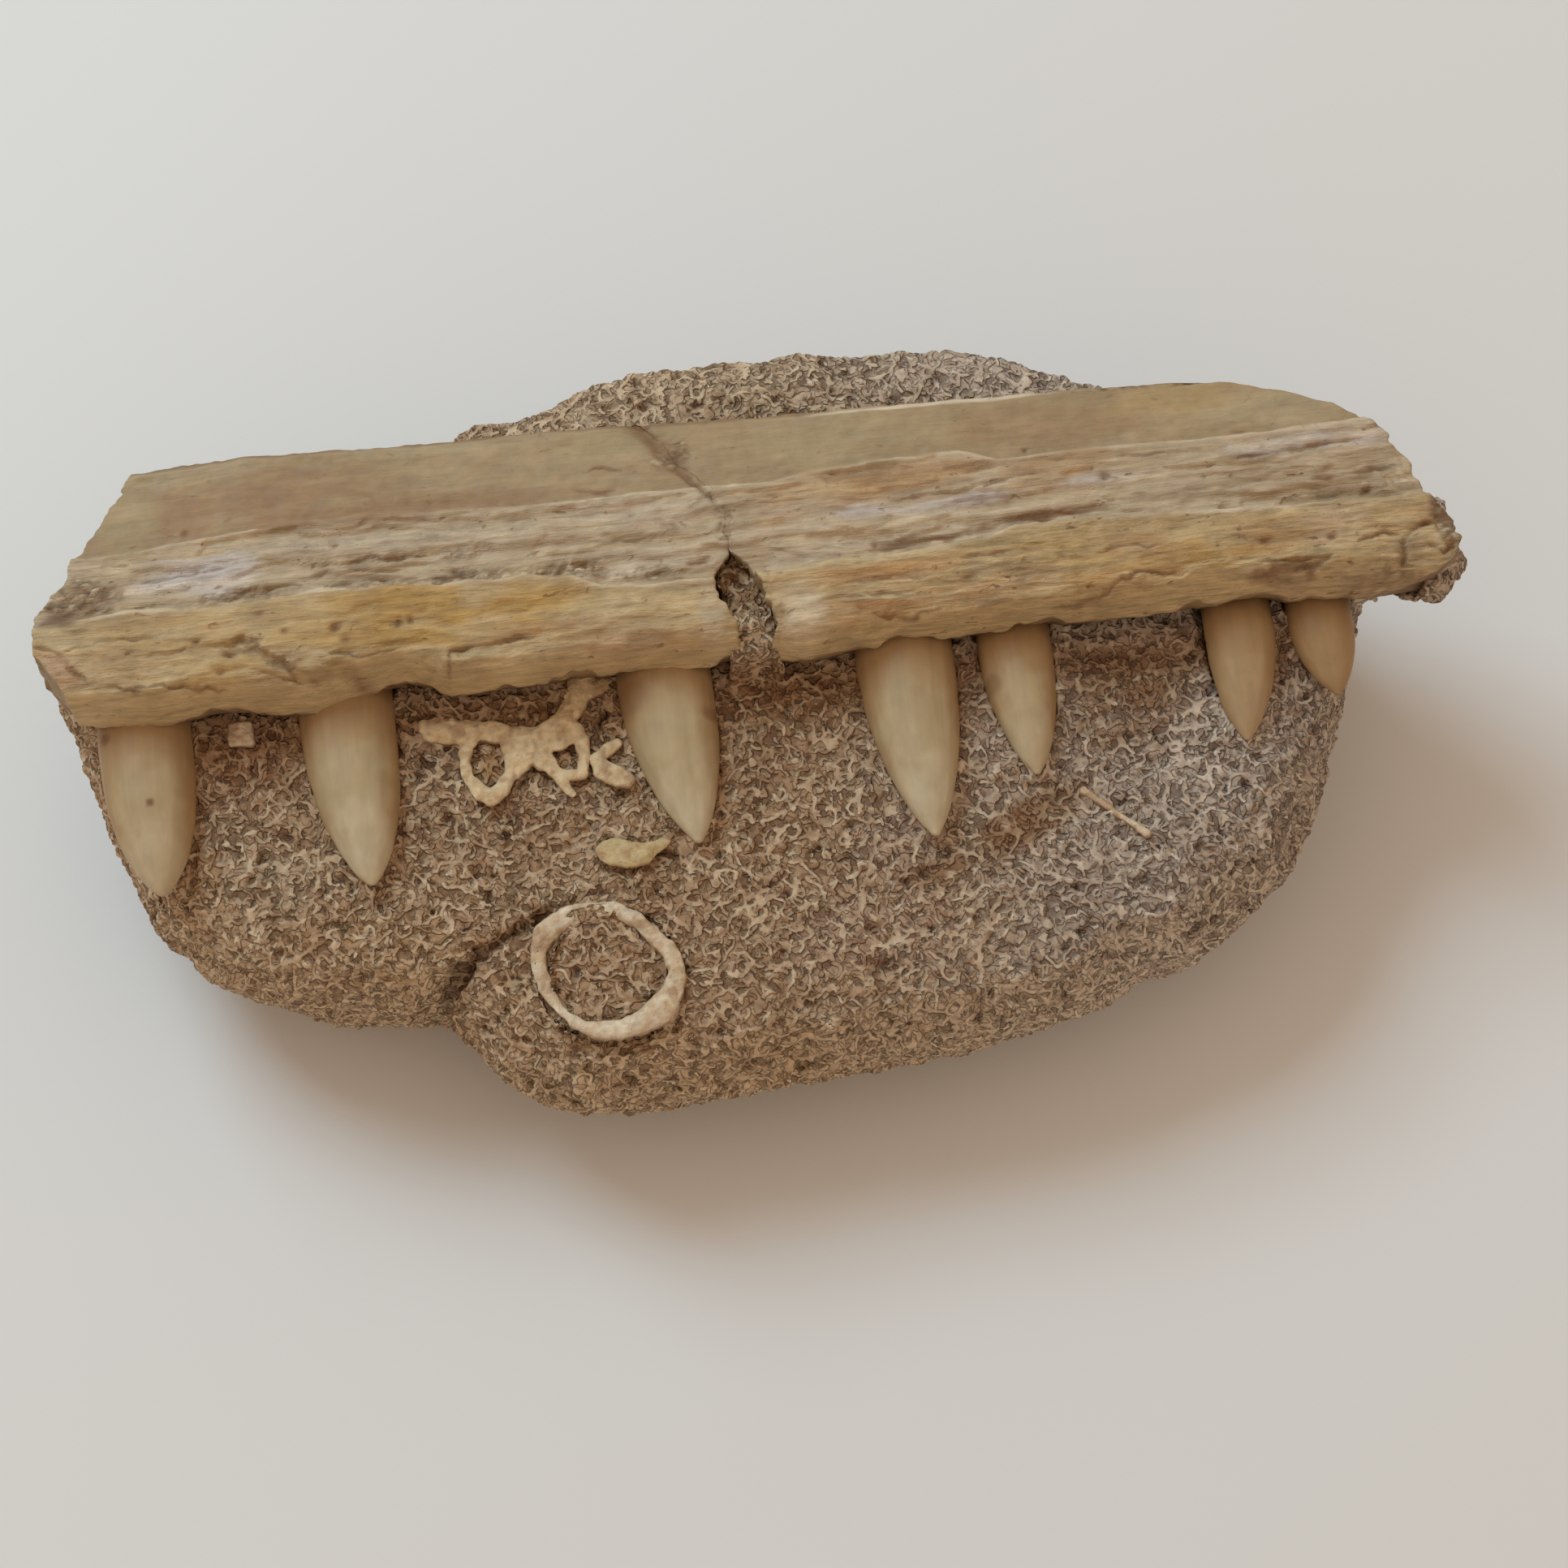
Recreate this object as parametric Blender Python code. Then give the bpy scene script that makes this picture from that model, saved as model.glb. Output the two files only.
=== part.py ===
"""Fossil fish jaw with seven teeth, on the block of phosphate rock that it was found in.

Metres, +Z up. The origin is on the floor under the middle of the piece, +X runs along the
jaw and -Y is the way that the teeth point. The jaw lies face up, as it rests on a table.
"""

import math

import bmesh
import bpy
from mathutils import Matrix, Vector, noise

MM = 0.001
GAP = 0.3 * MM
FOOT_CENTRE = (1.0 * MM, 1.0 * MM)

# Rock block: its widest outline in plan, anticlockwise from the left end
BLOCK_OUTLINE_MM = (
    (-74.0, 12.5),
    (-71.3, 2.0),
    (-69.0, -6.0),
    (-65.0, -15.5),
    (-59.5, -20.8),
    (-49.0, -25.5),
    (-38.6, -27.4),
    (-36.0, -25.6),
    (-35.0, -29.0),
    (-30.5, -34.0),
    (-24.0, -38.8),
    (-7.0, -38.5),
    (19.0, -36.2),
    (34.0, -33.0),
    (39.5, -29.4),
    (44.5, -29.2),
    (54.0, -21.8),
    (59.5, -12.5),
    (63.2, -3.0),
    (66.8, 8.0),
    (67.0, 16.0),
    (60.0, 25.5),
    (47.0, 30.0),
    (40.0, 34.0),
    (30.0, 38.2),
    (20.0, 40.0),
    (8.0, 40.9),
    (-7.0, 40.2),
    (-15.0, 39.4),
    (-20.5, 36.6),
    (-24.0, 36.0),
    (-29.5, 35.4),
    (-33.0, 30.0),
    (-60.0, 27.0),
    (-69.5, 20.0),
)
BLOCK_CELLS = (50, 30)
BLOCK_ASPECT = 0.55
FIELD_HEIGHT = 27.0 * MM
FIELD_FALL = 0.10
BED_RISE = 3.6 * MM
BED_FRONT = 3.4 * MM
BED_RAMP = 3.0 * MM
RIM_INSET = 1.4 * MM
RIM_DROP = 4.6 * MM
RIM_SHARPNESS = 22
BACK_RIM_DROP = 1.2 * MM
SKIRT = ((0.0 * MM, 0.78), (0.9 * MM, 0.58), (2.8 * MM, 0.38), (5.4 * MM, 0.18), (9.0 * MM, 0.0))
LOBE_STEP = 0.9 * MM
NOTCH_FROM, NOTCH_TO = 16.0 * MM, 26.0 * MM
ROCK_BUMPS = ((9.5 * MM, 1.1 * MM), (4.5 * MM, 0.5 * MM))
SIDE_BUMPS = ((9.5 * MM, 2.0 * MM), (4.0 * MM, 0.7 * MM))

# Rock lumps under and round the right end of the jaw: centre and radii
KNOBS_MM = (((70.3, 8.6, 31.0), (6.2, 5.4, 5.1)), ((63.5, 14.0, 25.6), (8.0, 8.0, 5.6)))
KNOB_BUMPS = ((0.8, 0.30), (0.35, 0.14))

# Break that runs through rock and bone, front to back, where the two blocks were joined
BREAK_LINE_MM = (
    (-36.6, -45.0),
    (-36.2, -26.5),
    (-32.6, -25.0),
    (-24.6, -20.0),
    (-18.0, -18.3),
    (-8.0, -18.6),
    (-3.2, -15.0),
    (-2.2, -6.0),
    (0.2, 2.0),
    (0.0, 13.0),
    (-1.4, 19.5),
    (-4.7, 23.2),
    (-6.4, 26.6),
    (-9.0, 31.0),
    (-11.0, 45.0),
)
HALF_REACH = 90.0 * MM
HALF_LOW, HALF_HIGH = -10.0 * MM, 60.0 * MM

# Jaw bone: lines along X, as distances from the tooth edge towards the back, and heights
TOOTH_EDGE = 2.8 * MM
RIDGE_TOP = 37.0 * MM
RIDGE_CURVE_MM = ((0.0, -5.7), (0.9, -2.5), (2.8, -0.9), (5.6, 0.0), (8.8, -0.2), (9.4, -0.5))
STEP_REACH = 0.7 * MM
MIDDLE_WIDTH = 10.0 * MM
MIDDLE_CROWN = 0.3 * MM
LAMINA_WIDTH = 8.8 * MM
GROOVE_DEPTH = 1.5 * MM
LAMINA_STEP = 0.7 * MM
LAMINA_FALL = 1.6 * MM
LAMINA_THICK = 3.0 * MM
LIP_TAPER = 0.9 * MM
BONE_BED = 27.6 * MM
BONE_SECTIONS = 44
BONE_WAVES = ((26.0 * MM, 0.55 * MM), (9.0 * MM, 0.35 * MM))
WAVE_SLANT = 0.4
END_SLANT = 1.3
LEFT_END_MM = ((3.0, -70.4), (9.0, -74.3), (13.5, -74.0), (20.0, -69.6), (24.0, -66.6), (31.0, -63.6))
RIGHT_END_MM = (
    (2.8, 66.5),
    (3.7, 70.4),
    (5.6, 72.2),
    (8.0, 73.0),
    (12.0, 72.4),
    (16.0, 70.6),
    (21.0, 68.0),
    (25.0, 64.6),
    (29.8, 54.5),
    (31.0, 47.0),
)

# Gap in the ridge at the break, and the rock that fills it
HOLE_OUTLINE_MM = (
    (-3.1, 12.0),
    (-2.4, 6.5),
    (-1.9, 1.0),
    (3.0, 1.0),
    (2.4, 6.5),
    (1.5, 12.2),
    (-0.8, 13.8),
)
HOLE_LOW, HOLE_HIGH = 20.0 * MM, 45.0 * MM
FILL_FLOOR = 28.4 * MM
FILL_TOP = 34.6 * MM
FILL_BUMPS = ((3.0 * MM, 0.8 * MM),)
FILL_FALL = 1.6 * MM

# Teeth, left to right: place along X, length, width, lean of the tip along X, fullness
TEETH_MM = (
    (-64.2, 17.8, 9.7, 1.0, 2.9),
    (-43.0, 18.9, 10.1, 1.4, 2.5),
    (-9.4, 17.7, 10.2, 1.9, 2.0),
    (16.1, 19.5, 10.3, 1.0, 2.0),
    (27.8, 13.7, 8.0, 0.7, 2.0),
    (51.4, 12.2, 7.6, -0.5, 2.0),
    (60.5, 8.0, 6.9, 0.7, 1.8),
)
TOOTH_ROOT = 4.5 * MM
TOOTH_HEIGHT = 27.2 * MM
TOOTH_SINK = 0.3 * MM
TOOTH_DEPTH_SHARE = 0.82
TOOTH_SIDES = 14
TOOTH_RINGS = 9
TOOTH_TIP_SHARE = 0.13
TOOTH_NOSE_SHARE = 0.45
TOOTH_NOSE = 0.35 * MM

# Small fossils bedded in the rock face
RING_CENTRE = (-18.2 * MM, -27.3 * MM)
RING_RADIUS = 7.5 * MM
RING_WALL = 1.4 * MM
RING_SQUASH = 0.97
RING_DEPTH = 5.0 * MM
RING_PROUD = 0.5 * MM
RING_SIDES = 26
WEB_OUTLINE_MM = (
    (-35.4, 1.9),
    (-34.4, -0.1),
    (-32.3, -2.0),
    (-30.6, -6.5),
    (-29.1, -8.2),
    (-27.1, -7.5),
    (-25.5, -5.6),
    (-23.7, -4.5),
    (-21.3, -6.1),
    (-18.8, -7.7),
    (-15.3, -10.1),
    (-14.0, -8.8),
    (-17.1, -5.6),
    (-17.8, -3.2),
    (-16.6, -1.0),
    (-14.9, 0.6),
    (-16.4, 2.0),
    (-19.1, 1.7),
    (-21.6, 0.1),
    (-25.1, -0.6),
    (-28.4, 0.2),
    (-33.1, 1.0),
)
WEB_HOLES_MM = ((-28.7, -4.3, 1.4, 1.9), (-20.6, -3.1, 1.2, 1.0))
WEB_THICK = 2.2 * MM
WEB_PROUD = 0.9 * MM
SCALE_OUTLINE_MM = (
    (-17.7, -15.6),
    (-15.9, -16.7),
    (-13.7, -16.2),
    (-11.5, -14.9),
    (-10.1, -12.8),
    (-12.6, -13.4),
    (-15.2, -13.6),
    (-17.2, -12.9),
)
SCALE_THICK = 1.6 * MM
SCALE_PROUD = 0.9 * MM
SPINE_ENDS_MM = ((33.7, -13.0), (39.5, -18.2))
SPINE_RADIUS = 0.55 * MM
CHIP_CENTRE = (-54.1 * MM, 1.0 * MM)
CHIP_SIZE = Vector((2.9, 3.2, 2.6)) * MM
CHIP_PROUD = 1.1 * MM
CHIP_EDGE = 0.3 * MM

COLOURS = {
    "rock": ((0.30, 0.22, 0.15, 1.0), 0.95),
    "bone": ((0.46, 0.33, 0.17, 1.0), 0.70),
    "old_bone": ((0.52, 0.43, 0.30, 1.0), 0.75),
    "scale": ((0.50, 0.38, 0.18, 1.0), 0.45),
}


def in_metres(points_mm):
    return [Vector(p) * MM for p in points_mm]


def eased(value, low, high):
    """0 below low, 1 above high, and a smooth step between them."""
    t = min(1.0, max(0.0, (value - low) / (high - low)))
    return t * t * (3.0 - 2.0 * t)


def along(table_mm, key):
    """The second column of a table of millimetres at this value of its first, in metres."""
    rows = [(a * MM, b * MM) for a, b in table_mm]
    if key <= rows[0][0]:
        return rows[0][1]
    for (a0, b0), (a1, b1) in zip(rows, rows[1:]):
        if key <= a1:
            return b0 + (b1 - b0) * (key - a0) / (a1 - a0)
    return rows[-1][1]


def bumps(point, layers):
    """Smooth noise at this point, the sum of layers of (wavelength, height)."""
    return sum(height * noise.noise(point / length) for length, height in layers)


def offset_outline(points, by):
    """A closed anticlockwise outline moved outwards by a distance, corner by corner."""
    moved = []
    for i, here in enumerate(points):
        before = (here - points[i - 1]).normalized()
        after = (points[(i + 1) % len(points)] - here).normalized()
        out = Vector((before.y + after.y, -before.x - after.x))
        share = max(0.5, out.length_squared / 2.0)
        moved.append(here + out * (by / share))
    return moved


def material(kind):
    found = bpy.data.materials.get(kind)
    if found:
        return found
    made = bpy.data.materials.new(kind)
    made.use_nodes = True
    shader = made.node_tree.nodes["Principled BSDF"]
    colour, roughness = COLOURS[kind]
    shader.inputs["Base Color"].default_value = colour
    shader.inputs["Roughness"].default_value = roughness
    shader.inputs["Metallic"].default_value = 0.0
    made.diffuse_color = colour
    return made


def add_object(name, bm, collection, kind=None):
    """A new object from a bmesh, in this collection, with faces pointing out."""
    bmesh.ops.recalc_face_normals(bm, faces=bm.faces)
    mesh = bpy.data.meshes.new(name)
    bm.to_mesh(mesh)
    bm.free()
    obj = bpy.data.objects.new(name, mesh)
    collection.objects.link(obj)
    if kind:
        mesh.materials.append(material(kind))
    return obj


def loft(rings):
    """A closed bmesh through rings of points, with a flat cap on the first and the last."""
    bm = bmesh.new()
    rows = [[bm.verts.new(p) for p in ring] for ring in rings]
    for low, high in zip(rows, rows[1:]):
        for i in range(len(low)):
            j = (i + 1) % len(low)
            bm.faces.new((low[i], low[j], high[j], high[i]))
    bm.faces.new(rows[0])
    bm.faces.new(rows[-1])
    return bm


def prism(name, outline, low, high, collection, holes=()):
    """An upright solid with this outline in plan and any round holes, as a mesh object."""
    curve = bpy.data.curves.new(name, "CURVE")
    curve.dimensions = "2D"
    curve.fill_mode = "BOTH"
    curve.extrude = (high - low) / 2.0
    for loop in (outline, *holes):
        spline = curve.splines.new("POLY")
        spline.points.add(len(loop) - 1)
        for point, place in zip(spline.points, loop):
            point.co = (place.x, place.y, 0.0, 1.0)
        spline.use_cyclic_u = True
    guide = bpy.data.objects.new(name, curve)
    collection.objects.link(guide)
    guide.location.z = (low + high) / 2.0
    bpy.context.view_layer.update()
    graph = bpy.context.evaluated_depsgraph_get()
    mesh = bpy.data.meshes.new_from_object(guide.evaluated_get(graph))
    bm = bmesh.new()
    bm.from_mesh(mesh)
    bm.transform(guide.matrix_world)
    bpy.data.objects.remove(guide)
    bpy.data.meshes.remove(mesh)
    bmesh.ops.remove_doubles(bm, verts=bm.verts, dist=0.01 * MM)
    return add_object(name, bm, collection)


def combine(obj, others, operation):
    """Applies a Boolean between obj and each of the others."""
    for other in others:
        step = obj.modifiers.new("combine", "BOOLEAN")
        step.operation = operation
        step.object = other
    bpy.context.view_layer.update()
    graph = bpy.context.evaluated_depsgraph_get()
    mesh = bpy.data.meshes.new_from_object(obj.evaluated_get(graph))
    obj.modifiers.clear()
    obj.data = mesh
    return obj


def drop_folds(bm):
    """Deletes faces that lie back to back on the same corners, which enclose nothing."""
    same = {}
    for face in bm.faces:
        same.setdefault(frozenset(face.verts), []).append(face)
    folded = [face for group in same.values() if len(group) > 1 for face in group]
    bmesh.ops.delete(bm, geom=folded, context="FACES")


def keep_largest(obj):
    """Drops every loose shell of obj but the one with the most volume."""
    bm = bmesh.new()
    bm.from_mesh(obj.data)
    bmesh.ops.remove_doubles(bm, verts=bm.verts, dist=0.001 * MM)
    bmesh.ops.triangulate(bm, faces=bm.faces)
    drop_folds(bm)
    unseen, shells = set(bm.faces), []
    while unseen:
        front = [unseen.pop()]
        shell = set(front)
        while front:
            face = front.pop()
            near = {f for e in face.edges for f in e.link_faces} & unseen
            unseen -= near
            shell |= near
            front.extend(near)
        shells.append(shell)

    def volume(shell):
        corners = ([v.co for v in f.verts] for f in shell)
        return abs(sum(a.dot(b.cross(c)) for a, b, c in corners))

    largest = max(shells, key=volume)
    scraps = [f for f in bm.faces if f not in largest]
    bmesh.ops.delete(bm, geom=scraps, context="FACES")
    bm.to_mesh(obj.data)
    bm.free()
    return obj


def copy_as(obj, name, collection, kind):
    twin = obj.copy()
    twin.data = obj.data.copy()
    twin.name = name
    twin.data.name = name
    twin.data.materials.clear()
    twin.data.materials.append(material(kind))
    collection.objects.link(twin)
    return twin


def block_reach(angle):
    """How far the block's widest outline is from the origin in this direction."""
    way = Vector((math.cos(angle), math.sin(angle)))
    points = in_metres(BLOCK_OUTLINE_MM)
    for a, b in zip(points, points[1:] + points[:1]):
        side = b - a
        cross = way.cross(side)
        if abs(cross) < 1e-12:
            continue
        reach = a.cross(side) / cross
        share = a.cross(way) / cross
        if reach > 0.0 and -1e-6 <= share <= 1.0 + 1e-6:
            return reach
    raise ValueError("the outline doesn't go round the origin")


def left_of_break(x, y):
    """Above 0 on the left block, as the distance to the break along X."""
    rows = [(b, a) for a, b in BREAK_LINE_MM]
    return along(sorted(rows), y) - x


def field_height(x, y):
    """The rock's upper surface, before its rim is rounded off."""
    height = FIELD_HEIGHT - FIELD_FALL * max(0.0, -y)
    height += BED_RISE * eased(y, BED_FRONT, BED_FRONT + BED_RAMP)
    near_notch = eased(-y, NOTCH_FROM, NOTCH_TO)
    height += LOBE_STEP * near_notch * eased(left_of_break(x, y), -1.0 * MM, 1.0 * MM)
    return height + bumps(Vector((x, y, 0.0)), ROCK_BUMPS)


def rock_block(collection):
    """The block: a gridded top drawn out to the outline, and skirts down to a flat foot."""
    bm = bmesh.new()
    bmesh.ops.create_grid(bm, x_segments=BLOCK_CELLS[0], y_segments=BLOCK_CELLS[1], size=1.0)
    for vert in bm.verts:
        share = max(abs(vert.co.x), abs(vert.co.y))
        angle = math.atan2(vert.co.y * BLOCK_ASPECT, vert.co.x)
        reach = share * (block_reach(angle) - RIM_INSET)
        x, y = reach * math.cos(angle), reach * math.sin(angle)
        drop = RIM_DROP + (BACK_RIM_DROP - RIM_DROP) * eased(y, 20.0 * MM, 30.0 * MM)
        vert.co = (x, y, field_height(x, y) - drop * share**RIM_SHARPNESS)
    edge = [e for e in bm.edges if e.is_boundary]
    rim_height = {}
    for inset, level in SKIRT:
        grown = bmesh.ops.extrude_edge_only(bm, edges=edge)["geom"]
        for vert in (v for v in grown if isinstance(v, bmesh.types.BMVert)):
            angle = math.atan2(vert.co.y, vert.co.x)
            top = rim_height.get(round(angle, 5), vert.co.z)
            rim_height[round(angle, 5)] = top
            reach = block_reach(angle) - inset
            around = Vector((reach * math.cos(angle), reach * math.sin(angle), top * level))
            reach += bumps(around, SIDE_BUMPS) * (1.0 - level if level else 0.0)
            vert.co = (reach * math.cos(angle), reach * math.sin(angle), top * level)
        edge = [g for g in grown if isinstance(g, bmesh.types.BMEdge)]
    bmesh.ops.contextual_create(bm, geom=edge)
    return add_object("block_whole", bm, collection)


def rock_knob(name, centre_mm, radii_mm, collection):
    """A lump of rock, rounded and uneven."""
    bm = bmesh.new()
    bmesh.ops.create_icosphere(bm, subdivisions=3, radius=1.0)
    for vert in bm.verts:
        swell = 1.0 + bumps(vert.co, KNOB_BUMPS)
        vert.co = (Vector(centre_mm) + vert.co * Vector(radii_mm) * swell) * MM
    return add_object(name, bm, collection)


def bone_section():
    """The bone across the jaw, in rows from the tooth edge to the back: y, top, underside."""
    ridge = [(TOOTH_EDGE + a * MM, RIDGE_TOP + b * MM, BONE_BED) for a, b in RIDGE_CURVE_MM]
    rim = ridge[-1][0]
    line = rim + MIDDLE_WIDTH
    back = line + LAMINA_WIDTH
    middle = RIDGE_TOP - GROOVE_DEPTH
    lamina = middle - LAMINA_STEP
    thin = lamina - LAMINA_FALL - LAMINA_THICK
    return (
        *ridge,
        (rim + STEP_REACH, middle, BONE_BED),
        (rim + 0.5 * MIDDLE_WIDTH, middle + MIDDLE_CROWN, 0.5 * (BONE_BED + thin)),
        (line, middle, thin),
        (line + STEP_REACH, lamina, thin),
        (line + 0.5 * LAMINA_WIDTH, lamina - 0.7 * LAMINA_FALL, thin),
        (back, lamina - LAMINA_FALL, thin + LIP_TAPER),
    )


def bone_bar(name, collection, grow=0.0):
    """The jaw bone without its teeth, larger all round by grow where it is a cutter."""
    rows = bone_section()
    bm = bmesh.new()
    upper, lower = [], []
    for i in range(BONE_SECTIONS + 1):
        share = i / BONE_SECTIONS
        tops, floors = [], []
        for k, (y, top, floor) in enumerate(rows):
            low = along(LEFT_END_MM, y) - END_SLANT * grow
            high = along(RIGHT_END_MM, y) + END_SLANT * grow
            x = low + (high - low) * share
            outwards = {0: -grow, len(rows) - 1: grow}.get(k, 0.0)
            swing = bumps(Vector((x, WAVE_SLANT, 0.0)), BONE_WAVES) + outwards
            wave = bumps(Vector((x, WAVE_SLANT * y, 0.0)), BONE_WAVES)
            tops.append(bm.verts.new((x, y + swing, top + wave + grow)))
            floors.append(bm.verts.new((x, y + swing, floor - grow)))
        upper.append(tops)
        lower.append(floors)
    last = len(rows) - 1
    for i in range(BONE_SECTIONS):
        for k in range(last):
            for sheet in (upper, lower):
                bm.faces.new((sheet[i][k], sheet[i + 1][k], sheet[i + 1][k + 1], sheet[i][k + 1]))
        for k in (0, last):
            bm.faces.new((upper[i][k], upper[i + 1][k], lower[i + 1][k], lower[i][k]))
    for i in (0, BONE_SECTIONS):
        for k in range(last):
            bm.faces.new((upper[i][k], upper[i][k + 1], lower[i][k + 1], lower[i][k]))
    return add_object(name, bm, collection)


def tooth(name, row, collection, grow=0.0):
    """A bent cone with an oval section, whose root runs back into the bone."""
    place, length, width, lean, fullness = row
    place, length, width, lean = place * MM, length * MM, width * MM, lean * MM
    rings = []
    for i in range(-1, TOOTH_RINGS + 1):
        t = max(0.0, i / TOOTH_RINGS)
        back = TOOTH_ROOT if i < 0 else 0.0
        centre = Vector(
            (
                place + lean * t**1.3,
                TOOTH_EDGE - length * t + back,
                TOOTH_HEIGHT - TOOTH_SINK * t**1.6,
            )
        )
        radius = 0.5 * width * max(TOOTH_TIP_SHARE, (1.0 - t**fullness) ** 0.75)
        rings.append(
            [
                centre
                + Vector(
                    (
                        (radius + grow) * math.cos(2.0 * math.pi * k / TOOTH_SIDES),
                        0.0,
                        (radius * TOOTH_DEPTH_SHARE + grow) * math.sin(2.0 * math.pi * k / TOOTH_SIDES),
                    )
                )
                for k in range(TOOTH_SIDES)
            ]
        )
    tip = rings[-1]
    middle = sum(tip, Vector()) / len(tip)
    beyond = Vector((0.0, -TOOTH_NOSE - grow, 0.0))
    nose = [middle + (p - middle) * TOOTH_NOSE_SHARE + beyond for p in tip]
    return add_object(name, loft([*rings, nose]), collection)


def jaw_whole(name, collection, grow=0.0):
    """The bone with its teeth fused to it."""
    bone = bone_bar(name, collection, grow)
    teeth = [tooth(f"{name}_tooth_{i + 1}", row, collection, grow) for i, row in enumerate(TEETH_MM)]
    combine(bone, teeth, "UNION")
    for obj in teeth:
        bpy.data.objects.remove(obj)
    return bone


def circle(centre, radius_x, radius_y, sides):
    turns = [2.0 * math.pi * k / sides for k in range(sides)]
    return [Vector((centre[0] + radius_x * math.cos(t), centre[1] + radius_y * math.sin(t))) for t in turns]


def face_height(points):
    """The rock face's mean height under some points in plan."""
    return sum(field_height(p[0], p[1]) for p in points) / len(points)


def vertebra_ring(name, collection, grow=0.0):
    """The cut end of a fish vertebra: a wall of bone that stands in the rock."""
    outer, inner = RING_RADIUS + grow, RING_RADIUS - RING_WALL - grow
    top = face_height(circle(RING_CENTRE, RING_RADIUS, RING_RADIUS, RING_SIDES)) + RING_PROUD
    outline = circle(RING_CENTRE, outer, outer * RING_SQUASH, RING_SIDES)
    hole = circle(RING_CENTRE, inner, inner * RING_SQUASH, RING_SIDES)
    return prism(name, outline, top - RING_DEPTH - grow, top + grow, collection, [hole])


def flat_fossil(name, outline_mm, thick, proud, collection, grow=0.0, holes_mm=()):
    """A thin piece of bone or scale that lies on the rock, sunk in it but for its top."""
    outline = in_metres(outline_mm)
    top = face_height(outline) + proud
    holes = [circle((x * MM, y * MM), rx * MM - grow, ry * MM - grow, 10) for x, y, rx, ry in holes_mm]
    return prism(name, offset_outline(outline, grow), top - thick - grow, top + grow, collection, holes)


def web_bone(name, collection, grow=0.0):
    return flat_fossil(name, WEB_OUTLINE_MM, WEB_THICK, WEB_PROUD, collection, grow, WEB_HOLES_MM)


def fish_scale(name, collection, grow=0.0):
    return flat_fossil(name, SCALE_OUTLINE_MM, SCALE_THICK, SCALE_PROUD, collection, grow)


def spine_rod(name, collection, grow=0.0):
    """A thin fish spine that lies on the rock face, half sunk in it."""
    start, end = in_metres(SPINE_ENDS_MM)
    way = (end - start).normalized() * grow
    start, end = start - way, end + way
    bm = bmesh.new()
    radius = SPINE_RADIUS + grow
    bmesh.ops.create_cone(
        bm, cap_ends=True, segments=12, radius1=radius, radius2=radius * 0.8, depth=(end - start).length
    )
    middle = (start + end) / 2.0
    turn = Vector((end.x - start.x, end.y - start.y, 0.0)).to_track_quat("Z", "Y")
    bm.transform(turn.to_matrix().to_4x4())
    bmesh.ops.translate(bm, verts=bm.verts, vec=(middle.x, middle.y, face_height([start, middle, end])))
    return add_object(name, bm, collection)


def bone_chip(name, collection, grow=0.0):
    """A square chip of bone beside the first tooth."""
    bm = bmesh.new()
    bmesh.ops.create_cube(bm, size=1.0)
    size = CHIP_SIZE + Vector((grow, grow, grow)) * 2.0
    bmesh.ops.scale(bm, verts=bm.verts, vec=size)
    if not grow:
        bmesh.ops.bevel(bm, geom=bm.edges, offset=CHIP_EDGE, segments=1, affect="EDGES")
    height = face_height([CHIP_CENTRE]) + CHIP_PROUD - CHIP_SIZE.z / 2.0
    bmesh.ops.translate(bm, verts=bm.verts, vec=(*CHIP_CENTRE, height))
    return add_object(name, bm, collection)


def break_halves(collection):
    """Two tall prisms, left and right of the break, half a gap away from it each."""
    line = in_metres(BREAK_LINE_MM)
    left = [Vector((-HALF_REACH, line[0].y)), *line, Vector((-HALF_REACH, line[-1].y))]
    right = [*line[::-1], Vector((HALF_REACH, line[0].y))]
    right.insert(0, Vector((HALF_REACH, line[-1].y)))
    return [
        prism(name, offset_outline(outline, -GAP / 2.0), HALF_LOW, HALF_HIGH, collection)
        for name, outline in (("left_half", left), ("right_half", right))
    ]


def rock_fill(name, collection):
    """The rock that fills the gap in the ridge, a little lower than the bone beside it."""
    outline = offset_outline(in_metres(HOLE_OUTLINE_MM), -GAP)
    obj = prism(name, outline, FILL_FLOOR, FILL_TOP, collection)
    bm = bmesh.new()
    bm.from_mesh(obj.data)
    bmesh.ops.triangulate(bm, faces=bm.faces)
    top = [e for e in bm.edges if all(v.co.z > FILL_TOP - 0.1 * MM for v in e.verts)]
    bmesh.ops.subdivide_edges(bm, edges=top, cuts=2, use_grid_fill=True)
    for vert in (v for v in bm.verts if v.co.z > FILL_TOP - 0.1 * MM):
        front = 1.0 - eased(vert.co.y, 1.0 * MM, 8.0 * MM)
        vert.co.z += bumps(vert.co, FILL_BUMPS) - FILL_FALL * front
    bm.to_mesh(obj.data)
    bm.free()
    obj.data.materials.append(material("rock"))
    return obj


def new_collection(name):
    made = bpy.data.collections.new(name)
    bpy.context.scene.collection.children.link(made)
    return made


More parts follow.
